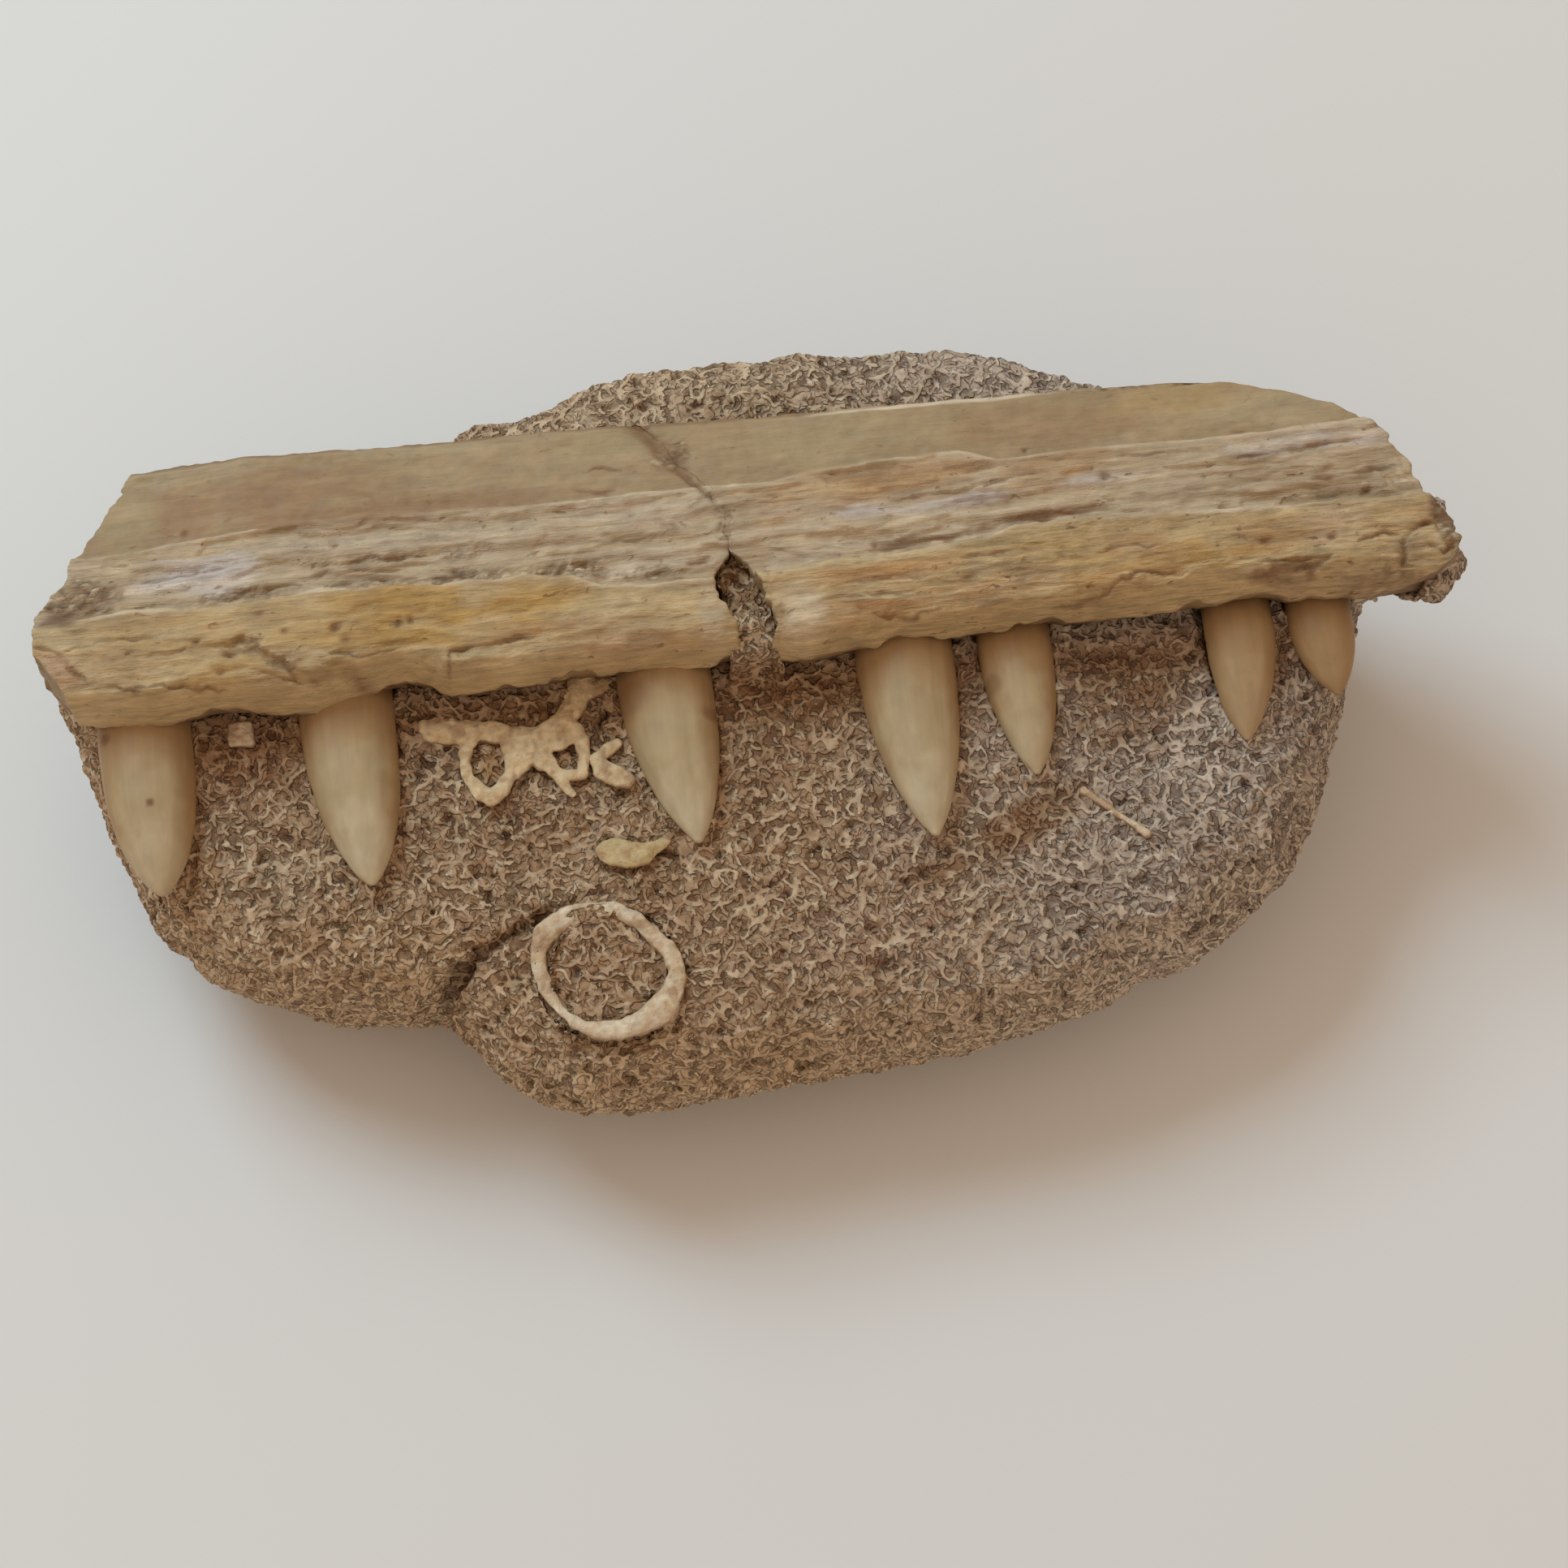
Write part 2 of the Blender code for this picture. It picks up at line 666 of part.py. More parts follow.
def build():
    for obj in list(bpy.data.objects):
        bpy.data.objects.remove(obj)
    parts = new_collection("fossil_fish_jaw")
    tools = new_collection("cutters")

    halves = break_halves(tools)
    small = (
        ("vertebra_ring", vertebra_ring, "old_bone"),
        ("web_bone", web_bone, "old_bone"),
        ("fish_scale", fish_scale, "scale"),
        ("spine_rod", spine_rod, "old_bone"),
        ("bone_chip", bone_chip, "old_bone"),
    )
    small_cutters = []
    for name, make, kind in small:
        piece = make(name, parts)
        piece.data.materials.append(material(kind))
        small_cutters.append(make(name + "_bed", tools, GAP))

    jaw = jaw_whole("jaw_whole", tools)
    hole = prism("ridge_hole", in_metres(HOLE_OUTLINE_MM), HOLE_LOW, HOLE_HIGH, tools)
    jaw_bed = jaw_whole("jaw_bed", tools, GAP)
    combine(jaw, [hole], "DIFFERENCE")

    rock = rock_block(tools)
    knobs = [rock_knob(f"knob_{i}", *row, tools) for i, row in enumerate(KNOBS_MM)]
    combine(rock, knobs, "UNION")
    combine(rock, [jaw_bed, *small_cutters], "DIFFERENCE")

    for side, half in zip(("left", "right"), halves):
        for whole, node, kind in ((jaw, "jaw", "bone"), (rock, "rock", "rock")):
            piece = copy_as(whole, f"{node}_{side}", parts, kind)
            keep_largest(combine(piece, [half], "INTERSECT"))
    rock_fill("rock_fill", parts)

    for obj in list(tools.objects):
        bpy.data.objects.remove(obj)
    shift = Matrix.Translation((-FOOT_CENTRE[0], -FOOT_CENTRE[1], 0.0))
    for obj in parts.objects:
        obj.data.transform(shift)


build()
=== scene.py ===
"""The looks of a fossil fish jaw on its block of phosphate rock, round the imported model.

Places and sizes are in millimetres in the drawing's own axes unless a name says otherwise:
+X runs along the jaw, -Y is the way that the teeth point and +Z is up from the floor.
"""

import math
from contextlib import contextmanager

import bmesh
import bpy
import numpy as np
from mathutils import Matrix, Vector


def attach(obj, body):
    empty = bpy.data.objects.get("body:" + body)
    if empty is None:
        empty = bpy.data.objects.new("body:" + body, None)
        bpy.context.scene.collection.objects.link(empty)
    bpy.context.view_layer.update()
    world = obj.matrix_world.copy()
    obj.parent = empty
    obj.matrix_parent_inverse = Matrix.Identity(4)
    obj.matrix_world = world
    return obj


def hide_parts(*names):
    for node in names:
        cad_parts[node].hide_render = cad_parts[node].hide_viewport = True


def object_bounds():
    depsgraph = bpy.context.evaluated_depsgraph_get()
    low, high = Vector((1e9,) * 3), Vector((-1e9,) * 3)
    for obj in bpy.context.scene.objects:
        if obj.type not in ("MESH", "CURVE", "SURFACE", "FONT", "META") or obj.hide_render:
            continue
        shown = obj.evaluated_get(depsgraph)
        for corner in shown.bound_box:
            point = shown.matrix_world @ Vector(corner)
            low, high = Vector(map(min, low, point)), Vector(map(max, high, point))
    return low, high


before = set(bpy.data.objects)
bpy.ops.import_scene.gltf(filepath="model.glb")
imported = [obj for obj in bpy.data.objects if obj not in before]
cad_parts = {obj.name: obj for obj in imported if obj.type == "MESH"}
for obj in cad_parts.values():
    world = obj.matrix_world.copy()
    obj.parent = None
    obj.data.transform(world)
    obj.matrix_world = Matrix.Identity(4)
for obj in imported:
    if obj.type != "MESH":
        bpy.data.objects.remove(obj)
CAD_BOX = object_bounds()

bl_info = {
    "name": "Fossil fish jaw",
    "version": (1, 0, 0),
    "blender": (4, 5, 0),
    "location": "View3D > Sidebar > Fossil jaw",
    "description": "Builds the finished surfaces of a fossil fish jaw in its rock",
    "category": "Add Mesh",
}

MM = 0.001
FOOT_CENTRE = np.array((1.0, 1.0, 0.0))
MOST_FACES, MOST_FILL_FACES, MOST_SMALL_FACES = 190000, 40000, 60000
BODY = "root"

# Camera: where it looks from, in degrees round and above, and how much it takes in
CAMERA_AZIMUTH, CAMERA_ELEVATION = -6.0, 68.0
CAMERA_DISTANCE = 0.42
CAMERA_TARGET = (0.0009, -0.0107, 0.028)
CAMERA_LENS = 92.48

# Soft light: place and side in metres, and colour; colour of the room's even light
KEY_PLACE, KEY_SIDE = (-0.49, 0.64, 0.85), 0.55
KEY_COLOUR = (0.53, 0.775, 0.95)
ROOM_COLOUR = (1.0, 0.8, 0.63, 1.0)

# Guide lines of the jaw bone, each as (x, y) from left to right
TOOTH_EDGE = (
    (-74, 4.6), (-70.5, 3.3), (-62, 2.3), (-55, 2.9), (-51.7, 2.6), (-45.6, 2.3), (-42, 3.3), (-36.3, 4.5),
    (-33.5, 3.6), (-31.7, 2.6), (-19.7, 2.9), (-8.6, 3.3), (2.4, 3.1), (5.2, 2.4), (15.7, 3.7),
    (41.9, 4.2), (56.3, 4.4), (62.7, 3.8), (72, 3.4),
)
RIDGE_RIM = (
    (-75, 11.9), (-69, 12.5), (-64, 13.2), (-57, 12.6), (-52, 12.5), (-43.7, 13.3), (-30, 12.8),
    (-18.4, 12.6), (-15, 11), (-10, 10.6), (3.5, 10.8), (18.1, 11.8), (25, 12.4), (28.6, 13.4),
    (32.9, 13.8), (41.4, 13.3), (58.5, 12.7), (75, 12.4),
)
LAMINA_LINE = (
    (-75, 19.8), (-64, 20.3), (-55.3, 21.2), (-40, 22), (-22.8, 21.4), (-5.6, 21.8), (3.8, 21.7),
    (13.4, 22.9), (23.9, 23.2), (28, 21.7), (33.2, 22), (51.5, 22), (70, 22.7),
)
BACK_EDGE = (
    (-75, 30.4), (-54.6, 31.3), (-34, 31), (-20, 31.3), (9, 30.6), (39, 30.4), (56, 30), (75, 29),
)
# Ends of the bone and sides of the break, each as (y, x) from front to back
BONE_LEFT_END = (
    (2, -70), (5, -71.6), (9, -74), (13.5, -73.8), (20, -69.4), (24, -66.4), (31, -63.4),
)
BONE_RIGHT_END = (
    (2.6, 67), (3.7, 71), (5.6, 73.8), (8, 74.8), (10.5, 74.6), (13, 73.2), (16, 71.8), (21, 69),
    (25, 64.8), (29.8, 54.2), (31, 46.8),
)
BREAK_LEFT = (
    (2, -1.3), (3.6, -1.6), (5.9, -1.9), (8.3, -2.7), (10.4, -3.4), (11.8, -3.3), (13.2, -2.4),
    (14.1, -1.2), (16.6, -1.7), (18.5, -2.3), (20.2, -2.7), (22.6, -4.6), (24, -5.6), (26.2, -6.7),
    (27.7, -7.8), (31, -9.4),
)
BREAK_RIGHT = (
    (1, 2), (3, 2.5), (6.1, 2.9), (9.6, 2.4), (12.5, 1.6), (13.9, 0.4), (14.6, -0.7), (16.6, -1.2),
    (18.5, -1.9), (20.2, -2.2), (22.6, -4), (24, -5.1), (26.2, -6.2), (27.7, -7.2), (31, -8.8),
)

# How far each side of the bone's break reaches into the gap between the solids
BREAK_CLOSE = 0.3
# Fill of the hole: how deep its back is hollowed, the foot of its front, the share of the height above
# that foot that is left there, and the place before it where the rock is levelled
FILL_HOLLOW = 1.6
FILL_FOOT, FILL_FRONT_SHARE = 26.7, 0.07
# Meshes of rock and fill, in metres: how far each is first grown, and the grid of the fill
ROCK_GROW, FILL_GROW, FILL_GRID = 0.00024, 0.0007, 0.00018
FILL_FRONT = ((-2.6, 0.4, 0.9), (3.4, 0.4, 0.9))

# Jaw bone across: height of its tooth edge, the crown's rise and reach, the steps down at the rim and
# at the back plate, the back plate's fall, the underside, and how far the tooth side is cut under
EDGE_Z = 31.3
CROWN_RISE = 5.5
CROWN_REACH = 0.85
RIM_STEP, RIM_WIDTH = 1.25, 0.55
LAMINA_STEP, LAMINA_WIDTH = 0.75, 0.45
LAMINA_FALL = 1.5
BONE_FLOOR, FLOOR_RISE = 27.9, 2.6
UNDERCUT = 1.3
# Grid of the bone: rows from the teeth to the back edge, step between columns, levels of its walls
BONE_ROWS, BONE_STEP, WALL_LEVELS = 171, 0.3, 10
BONE_FRONT_Y, BONE_WIDTH = 2.8, 28.2

# Where the upper, ochre layer of the left ridge ends, and how thick it is there
LAYER_LINE = (
    (-75, 9.8), (-67.9, 8), (-64.2, 7.5), (-60.2, 7.7), (-57.5, 8.2), (-52.4, 8.6), (-51, 7.9),
    (-50.4, 6.9), (-48.3, 5.9), (-47.3, 4.6), (-45.2, 4.1), (-43.3, 4.9), (-40.6, 4.2), (-34.3, 3.6),
    (-30, 1),
)
LAYER_STEP = (
    (-70, 0.12), (-55, 0.2), (-51.5, 0.6), (-42, 0.55), (-34, 0.2), (-30, 0),
)

# Cracks and grooves in the bone: width, depth and the line that each follows
CRACKS = (
    (0.35, 0.45, ((-74.5, 10.4), (-72.1, 9.4), (-70.2, 7.2), (-68.5, 5.1))),
    (0.22, 0.3, ((-68.7, 5.1), (-64.4, 4.5), (-58.6, 4.4), (-54, 3.8))),
    (0.25, 0.25, ((-63, 7.6), (-60.2, 7.8), (-58, 8.3))),
    (0.6, 0.5, (
        (11, 12.6), (16.6, 13), (20.1, 13.3), (24.4, 13.8), (28.8, 14.7), (33.1, 15.2), (39.1, 15),
    )),
    (0.9, 0.45, ((28.5, 14.6), (33.2, 15.1), (39, 15.2))),
    (0.3, 0.45, ((52.9, 6.7), (57.6, 6.3), (61, 6.2))),
    (0.4, 0.45, ((51.5, 5.4), (55.8, 5.6), (59.2, 5.5), (61.9, 6.6))),
    (0.28, 0.35, ((31.7, 4.6), (36, 4.9), (38.7, 5.7), (40.5, 6.7), (45.5, 6))),
    (0.4, 0.7, ((73.6, 9), (71.4, 9.2), (69.8, 8.4), (69, 6.8), (68.6, 5.2), (70.2, 4.6))),
    (0.3, 0.5, ((74.5, 6.6), (72.6, 6), (71, 7))),
    (0.25, 0.35, ((-52, 5), (-48, 4.3), (-44, 3.6))),
    (0.2, 0.25, ((-74, 6.8), (-72, 8.4), (-70, 9.4), (-66, 9.8), (-60, 9.6))),
    (0.2, 0.25, ((-44, 6.2), (-40, 5.6), (-36, 6.4))),
    (0.25, 0.3, ((12, 5.2), (16, 4.6), (21, 5.4))),
    (0.2, 0.25, ((36, 9.2), (40, 9.8), (44, 9.2), (47, 9.6))),
    (0.25, 0.35, ((64, 7.8), (66.4, 8.6), (68.8, 8.4))),
    (0.22, 0.25, ((-16.1, 25.3), (-13.9, 25.6), (-11.4, 24.9))),
    (0.22, 0.2, ((-17.5, 23.2), (-14.2, 22.3), (-12, 22.7))),
    (0.3, 0.35, ((-12.5, 16.4), (-9.6, 16.5), (-6.7, 16.9), (-6.4, 17.5), (-8.5, 17.9))),
    (0.4, 0.35, ((-6, 13.1), (-3.4, 13.3))),
    (0.25, 0.3, ((-31.6, 2.6), (-31.4, 5.2), (-27.5, 5.7), (-22, 6.2))),
    (0.2, 0.2, ((8.5, 8.4), (14, 8.9), (19.5, 8.6))),
    (0.2, 0.2, ((6.5, 6.9), (12, 7.2), (18, 6.8))),
    (0.22, 0.22, ((20, 9.9), (27, 10.6), (34, 10.3))),
    (0.25, 0.3, ((-44, 16.4), (-38.5, 16.9), (-33, 16.6))),
    (0.25, 0.3, ((-46, 15.3), (-41, 15.8), (-35.5, 15.6))),
    (0.25, 0.3, ((-44, 14.3), (-39.5, 14.7), (-36, 14.6))),
    (0.25, 0.25, ((-63, 16.6), (-58, 17.2), (-53, 17.6))),
    (0.3, 0.35, ((-54.5, 13.3), (-51, 14.7), (-47.5, 14.9), (-45.5, 14.2))),
    (0.25, 0.3, ((48, 18.4), (53, 19.2), (60, 19.8), (67, 20.4))),
    (0.3, 0.35, ((60, 15.9), (65, 16.4), (70, 16.9))),
    (0.25, 0.25, ((15, 18.2), (22, 18.4), (27, 19), (33, 19.7))),
)

# Crumbled places on the bone: x, y, half length, half width, strength
CRUMBLED = (
    (-69, 15.6, 6, 2.6, 0.9),
    (-52, 14.2, 6, 0.9, 0.8),
    (-38, 14, 6, 0.9, 0.6),
    (-28, 14, 5, 1, 0.9),
    (-19, 13.6, 6, 1.2, 1),
    (-10, 12.4, 4.5, 0.9, 0.7),
    (-29.5, 16.8, 3, 1, 0.5),
    (-6.5, 26.5, 2.2, 2.6, 0.6),
    (-1.6, 17, 1, 3, 0.7),
    (2.4, 8, 0.8, 5, 0.5),
    (69, 15.5, 3.5, 2.6, 0.35),
    (73.5, 9, 1.8, 4, 0.9),
    (66, 3.9, 5, 0.9, 0.7),
    (-47.5, 6.2, 2.4, 1, 0.5),
    (-53, 8, 3, 1.2, 0.4),
    (56.5, 5.8, 4.5, 1.2, 0.35),
)

# Painted places on the bone: x, y, half length, half width, slope, strength, colour name
BONE_PATCHES = (
    (-50, 26, 15, 4.5, 0, 0.85, "lamina_dark"),
    (-58, 30, 10, 1.8, 0, 0.6, "lamina_pale"),
    (-30, 30.2, 16, 1.2, 0, 0.45, "lamina_pale"),
    (-12, 28.5, 7, 2.5, 0, 0.5, "lamina_green"),
    (-42, 22.6, 32, 1.8, 0.02, 0.7, "lamina_dark"),
    (-30, 20.2, 24, 1, 0.02, 0.35, "dirt"),
    (-36, 7, 9, 1.4, 0, 0.7, "ochre_strong"),
    (-21, 9.4, 5, 1.8, 0, 0.6, "ochre_strong"),
    (-64, 24.5, 3.5, 4.5, 0, 0.45, "lamina_green"),
    (-56.5, 17.2, 7.5, 2.2, 0.06, 0.95, "grey_lilac"),
    (-45, 18.8, 9, 1.8, 0.04, 0.6, "grey"),
    (-30, 18.6, 14, 2.6, 0.02, 0.45, "grey"),
    (-11, 19.8, 9, 2.2, 0, 0.6, "grey"),
    (-9, 13.6, 7, 1.6, 0, 0.55, "grey"),
    (-69, 15.5, 3.5, 2.5, 0.2, 0.75, "dirt"),
    (-71.5, 13, 2.5, 1.3, 0.1, 0.8, "dirt_and_shade_dark"),
    (-34, 9.6, 9, 3.6, 0, 0.95, "ochre_strong"),
    (-24, 9.4, 8, 2.6, 0.08, 0.75, "ochre_strong"),
    (-44, 9, 7, 3, 0, 0.55, "ochre"),
    (-58, 10, 9, 2.2, 0, 0.45, "ochre"),
    (-55, 5.8, 6, 1.8, 0, 0.6, "ochre"),
    (-66, 5.8, 6, 2.2, 0, 0.55, "cream"),
    (-71.5, 10.2, 2.5, 1.6, -0.3, 0.6, "cream"),
    (-71.5, 7.5, 2.2, 1.8, -0.8, 0.6, "pink"),
    (-12, 7.5, 10, 3, 0, 0.55, "cream"),
    (-24, 4.6, 7, 1.5, 0.05, 0.55, "cream"),
    (-22, 6.9, 6, 0.9, 0.1, 0.5, "rust"),
    (12, 26.5, 12, 3.4, 0, 0.4, "lamina_green"),
    (34, 26, 10, 3, 0, 0.45, "lamina_dark"),
    (58, 25.4, 8, 3, 0, 0.5, "lamina_pale"),
    (48, 27.8, 8, 2, 0, 0.35, "ochre"),
    (8, 19.4, 8.5, 2.4, 0.1, 0.5, "rust_pale"),
    (3.5, 17.4, 3, 2, 0.1, 0.45, "rust_pale"),
    (20, 20.9, 9.5, 2, 0.1, 0.55, "rust_pale"),
    (33, 19.9, 8, 1.9, 0.06, 0.5, "rust_pale"),
    (20, 21.3, 5, 0.7, 0.1, 0.3, "rust"),
    (13, 17, 5, 1.2, 0.06, 0.8, "grey_lilac"),
    (24, 17.4, 9, 0.9, 0.1, 0.85, "grey_lilac"),
    (38, 18.4, 6, 1, 0.08, 0.7, "grey_lilac"),
    (60, 20.4, 9, 1.6, 0.04, 0.65, "grey_lilac"),
    (50, 17.5, 8, 1.4, 0.06, 0.35, "grey"),
    (33.5, 15, 6, 0.7, 0.03, 1, "groove"),
    (20, 13.6, 6, 0.35, 0.06, 0.8, "groove"),
    (66, 17.8, 5, 1.4, 0.1, 0.55, "dirt"),
    (16, 9.6, 9, 1.5, 0.04, 0.8, "rust_pale"),
    (12, 5.6, 7, 1.3, 0.05, 0.8, "rust"),
    (24, 6.6, 8, 1.8, 0.05, 0.5, "rust_pale"),
    (31, 10.6, 9, 2, 0, 0.55, "ochre"),
    (44, 7.8, 9, 2.2, 0, 0.75, "ochre_strong"),
    (41, 9.8, 3.5, 1.6, 0, 0.55, "rust"),
    (54, 9.8, 5, 2, 0, 0.5, "rust_pale"),
    (6, 4.4, 3.5, 1.6, 0, 0.55, "cream"),
    (5, 8.6, 2.6, 2, 0, 0.65, "cream"),
    (6, 12.6, 5, 1.2, 0.1, 0.65, "grey"),
    (62, 9.8, 4, 2.6, 0, 0.45, "grey"),
    (64, 4.6, 5, 1, 0, 0.6, "dirt"),
    (69.5, 6.4, 2.4, 2.6, 0, 0.55, "dirt"),
    (68, 12.8, 4, 1.2, 0, 0.55, "cream"),
    (22, 30.2, 18, 0.4, 0, 0.8, "fossil_pale"),
    (-14, 4.6, 9, 1.2, 0.02, 0.5, "pink"),
    (-3.8, 6.4, 1.6, 4, 0, 0.5, "grey"),
    (5.4, 5, 2.6, 3, 0, 0.5, "fossil_pale"),
    (12, 16.2, 9, 0.8, 0.1, 0.6, "grey"),
    (40, 6, 7, 1.6, 0.05, 0.45, "rust_pale"),
    (56.5, 4.4, 5, 1, 0, 0.5, "pink"),
    (28, 12, 5, 0.7, 0.1, 0.45, "lamina_green"),
    (73.8, 8.5, 1.6, 5, 0, 0.75, "dirt_and_shade_dark"),
    (56, 16.2, 15, 1.3, 0.02, 0.6, "dirt"),
    (66, 13.6, 8, 2, 0, 0.5, "dirt"),
    (64, 9.4, 9, 2.2, 0, 0.35, "rust_pale"),
    (15, 11.3, 8, 0.8, 0.06, 0.65, "cream"),
    (6, 18.2, 5, 0.9, 0.08, 0.55, "grey"),
    (62, 19.8, 8, 0.8, 0.04, 0.5, "grey_lilac"),
    (-20, 13.9, 8, 0.6, 0, 0.55, "cream"),
    (0, 17, 3, 3, 0, 0.35, "dirt"),
)

# Pits in the bone: x, y, radius, depth
PITS = (
    (-57.3, 8.6, 0.45, 0.45), (-64.2, 8.3, 0.4, 0.35), (-53.8, 7.2, 0.55, 0.55), (-55, 5.4, 0.4, 0.35),
    (-50.5, 11.2, 0.5, 0.4), (-47.8, 8.9, 0.45, 0.4), (-42.7, 8.8, 0.65, 0.45), (-41.9, 7.6, 0.45, 0.35),
    (-36.5, 8.9, 0.55, 0.4), (-35, 9.1, 0.4, 0.3), (-30, 14.6, 0.55, 0.5), (-27.4, 13.4, 0.5, 0.45),
    (-19.5, 13, 0.7, 0.5), (-15, 12.6, 0.9, 0.6), (-47.2, 4.9, 0.45, 0.4), (-58, 22.3, 0.45, 0.25),
    (-42.5, 18.9, 0.5, 0.3), (31, 22.6, 0.35, 0.3), (39, 18.6, 0.6, 0.4), (13.8, 13.3, 0.5, 0.35),
    (23, 8, 0.8, 0.4), (33, 9.5, 0.45, 0.3), (54.5, 8.9, 0.7, 0.45), (61.4, 8.7, 0.55, 0.4),
    (66.4, 14, 0.6, 0.5),
)

COLOURS = {
    "lamina": (160, 135, 101),
    "lamina_dark": (148, 115, 81),
    "lamina_pale": (171, 152, 118),
    "lamina_green": (164, 146, 107),
    "middle": (184, 161, 130),
    "grey": (184, 165, 141),
    "grey_lilac": (192, 179, 169),
    "ridge": (178, 150, 108),
    "cream": (197, 173, 132),
    "ochre": (180, 146, 92),
    "ochre_strong": (177, 139, 79),
    "rust": (163, 118, 75),
    "rust_pale": (177, 137, 92),
    "pink": (184, 146, 116),
    "dirt": (141, 114, 85),
    "dirt_and_shade_dark": (111, 84, 60),
    "groove": (120, 84, 54),
    "matrix": (169, 134, 101),
    "matrix_dark": (120, 87, 60),
    "matrix_grey": (171, 148, 124),
    "matrix_pale": (187, 162, 133),
    "matrix_mauve": (169, 139, 126),
    "matrix_brown": (131, 93, 60),
    "matrix_red": (150, 106, 77),
    "matrix_tan": (169, 131, 87),
    "flake": (219, 194, 161),
    "pit": (90, 61, 41),
    "tooth": (176, 155, 118),
    "tooth_brown": (160, 126, 86),
    "tooth_tip": (200, 185, 154),
    "fossil": (214, 188, 148),
    "fossil_pale": (216, 196, 168),
    "fossil_stain": (178, 135, 81),
    "scale": (197, 173, 128),
    "table": (221, 218, 214),
}

# Teeth from left to right: x, length, width, lean of the tip, fullness, brownness
TEETH = (
    (-64.2, 17.9, 9.8, 1, 2.9, 0.35),
    (-43, 19, 10.1, 1.4, 2.5, 0.15),
    (-9.4, 17.8, 10.2, 1.9, 2, 0.1),
    (16.1, 19.6, 10.3, 1, 2, 0.12),
    (27.8, 13.8, 8, 0.7, 2, 0.3),
    (51.8, 12.3, 7.4, -0.9, 2, 0.7),
    (60.5, 8.1, 6.9, 0.7, 1.8, 0.9),
)
# Length of a tooth inside the bone, height of its middle line, and how far its tip lies lower
TOOTH_ROOT = 3.5
TOOTH_Z = 27.2
TOOTH_SINK = 0.25
# Depth of a tooth as a share of its width, and its points round and along
TOOTH_DEPTH_SHARE = 0.82
TOOTH_SIDES, TOOTH_RINGS = 72, 90

# Dark places on the teeth: tooth, x, y, radius, strength
TOOTH_SPOTS = (
    (1, -63.6, -6, 0.5, 0.9), (1, -68, 2, 0.8, 0.7), (3, -13.4, 1, 3, 0.45), (3, -5, -1.5, 1.3, 0.6),
    (5, 24.8, -1.2, 1.6, 0.5),
)

# Ring of a fish vertebra: its bone as (x, y, radius) going round, and its height and tilt
RING = (
    (-24.3, -22.6, 1.45), (-21.8, -20.9, 1.15), (-19.9, -20.5, 1.05), (-17.1, -20.7, 1), (-14.7, -22.1, 1),
    (-12.8, -24.1, 0.99), (-11.5, -26, 0.99), (-11.1, -27.8, 0.99), (-11.7, -30, 1.21),
    (-13.1, -31.8, 1.76), (-14.9, -32.8, 1.43), (-17.4, -33.5, 1.21), (-19.9, -33.3, 0.99),
    (-21.8, -32.4, 0.65), (-22.9, -31.4, 0.65), (-24, -30, 0.66), (-24.8, -28.2, 0.99),
    (-25.2, -25.9, 0.88), (-25.1, -24.3, 0.99),
)
RING_Z, RING_TILT = 24.6, 0.07
RING_CENTRE, RING_RADIUS = (-18.2, -27.3), 6.8
# Cell in which the level of the rock beside a small fossil is found
GROOVE_CELL = 0.8

# Bone web: arms as (x, y, radius) from end to end, their height, and how flat they are
WEB_ARMS = (
    (
        (-35, 1.1, 0.82), (-33.9, 0.8, 1.37), (-31.8, 0.3, 1.51), (-29.3, 0, 1.23), (-26.8, -0.7, 1.23),
        (-24.3, -1.4, 1.51),
    ),
    ((-35.2, 1, 0.69), (-34.6, 0.1, 0.82), (-33, -0.5, 0.82), (-31, -0.6, 0.96)),
    (
        (-24.3, -1.6, 1.51), (-22.1, -1, 1.4), (-20.4, 0.2, 1.3), (-19.2, 1.8, 1.4), (-18.4, 3.6, 1.61),
        (-18, 5.6, 1.72),
    ),
    ((-18.6, 3, 1.08), (-17.2, 3.6, 1.08), (-15.4, 4, 0.98)),
    (
        (-29.8, -0.5, 0.82), (-30.8, -1.7, 0.82), (-31.2, -3.5, 0.69), (-30.7, -5.4, 0.82),
        (-29.7, -7, 0.96), (-28.6, -7.8, 0.96),
    ),
    ((-26.5, -1.7, 0.82), (-26, -3.6, 0.82), (-26.3, -5.4, 0.82), (-27.5, -6.9, 0.96), (-28.6, -7.8, 0.96)),
    ((-25.6, -2, 1.51), (-25.2, -3.6, 1.51), (-25.9, -5.2, 0.96)),
    ((-24.4, -2.6, 1.78), (-23.2, -3.5, 1.37), (-22, -5, 0.82), (-21.3, -6.4, 0.69), (-20.2, -8.2, 0.55)),
    (
        (-20.8, -0.1, 0.82), (-19.4, -0.8, 0.96), (-18.7, -2.1, 0.82), (-18.6, -3.9, 0.69),
        (-18.9, -5.6, 0.55),
    ),
    ((-23, -4.2, 0.82), (-21.6, -5.4, 0.55), (-20.4, -6, 0.55), (-18.8, -6.1, 0.55)),
    ((-22.2, -2, 1.23), (-21, -2.2, 0.96), (-19.2, -1.6, 0.82)),
    ((-17.3, -4.4, 0.69), (-16.8, -5.8, 1.1), (-15.6, -6.6, 1.23), (-14.2, -7.2, 0.82)),
    ((-17.4, -4.6, 0.55), (-16, -3.6, 0.69), (-14.9, -2.9, 0.55)),
)
WEB_Z, WEB_FLAT = 27.05, 0.5
# Step between the balls that make up a small fossil
BALL_STEP = 0.35

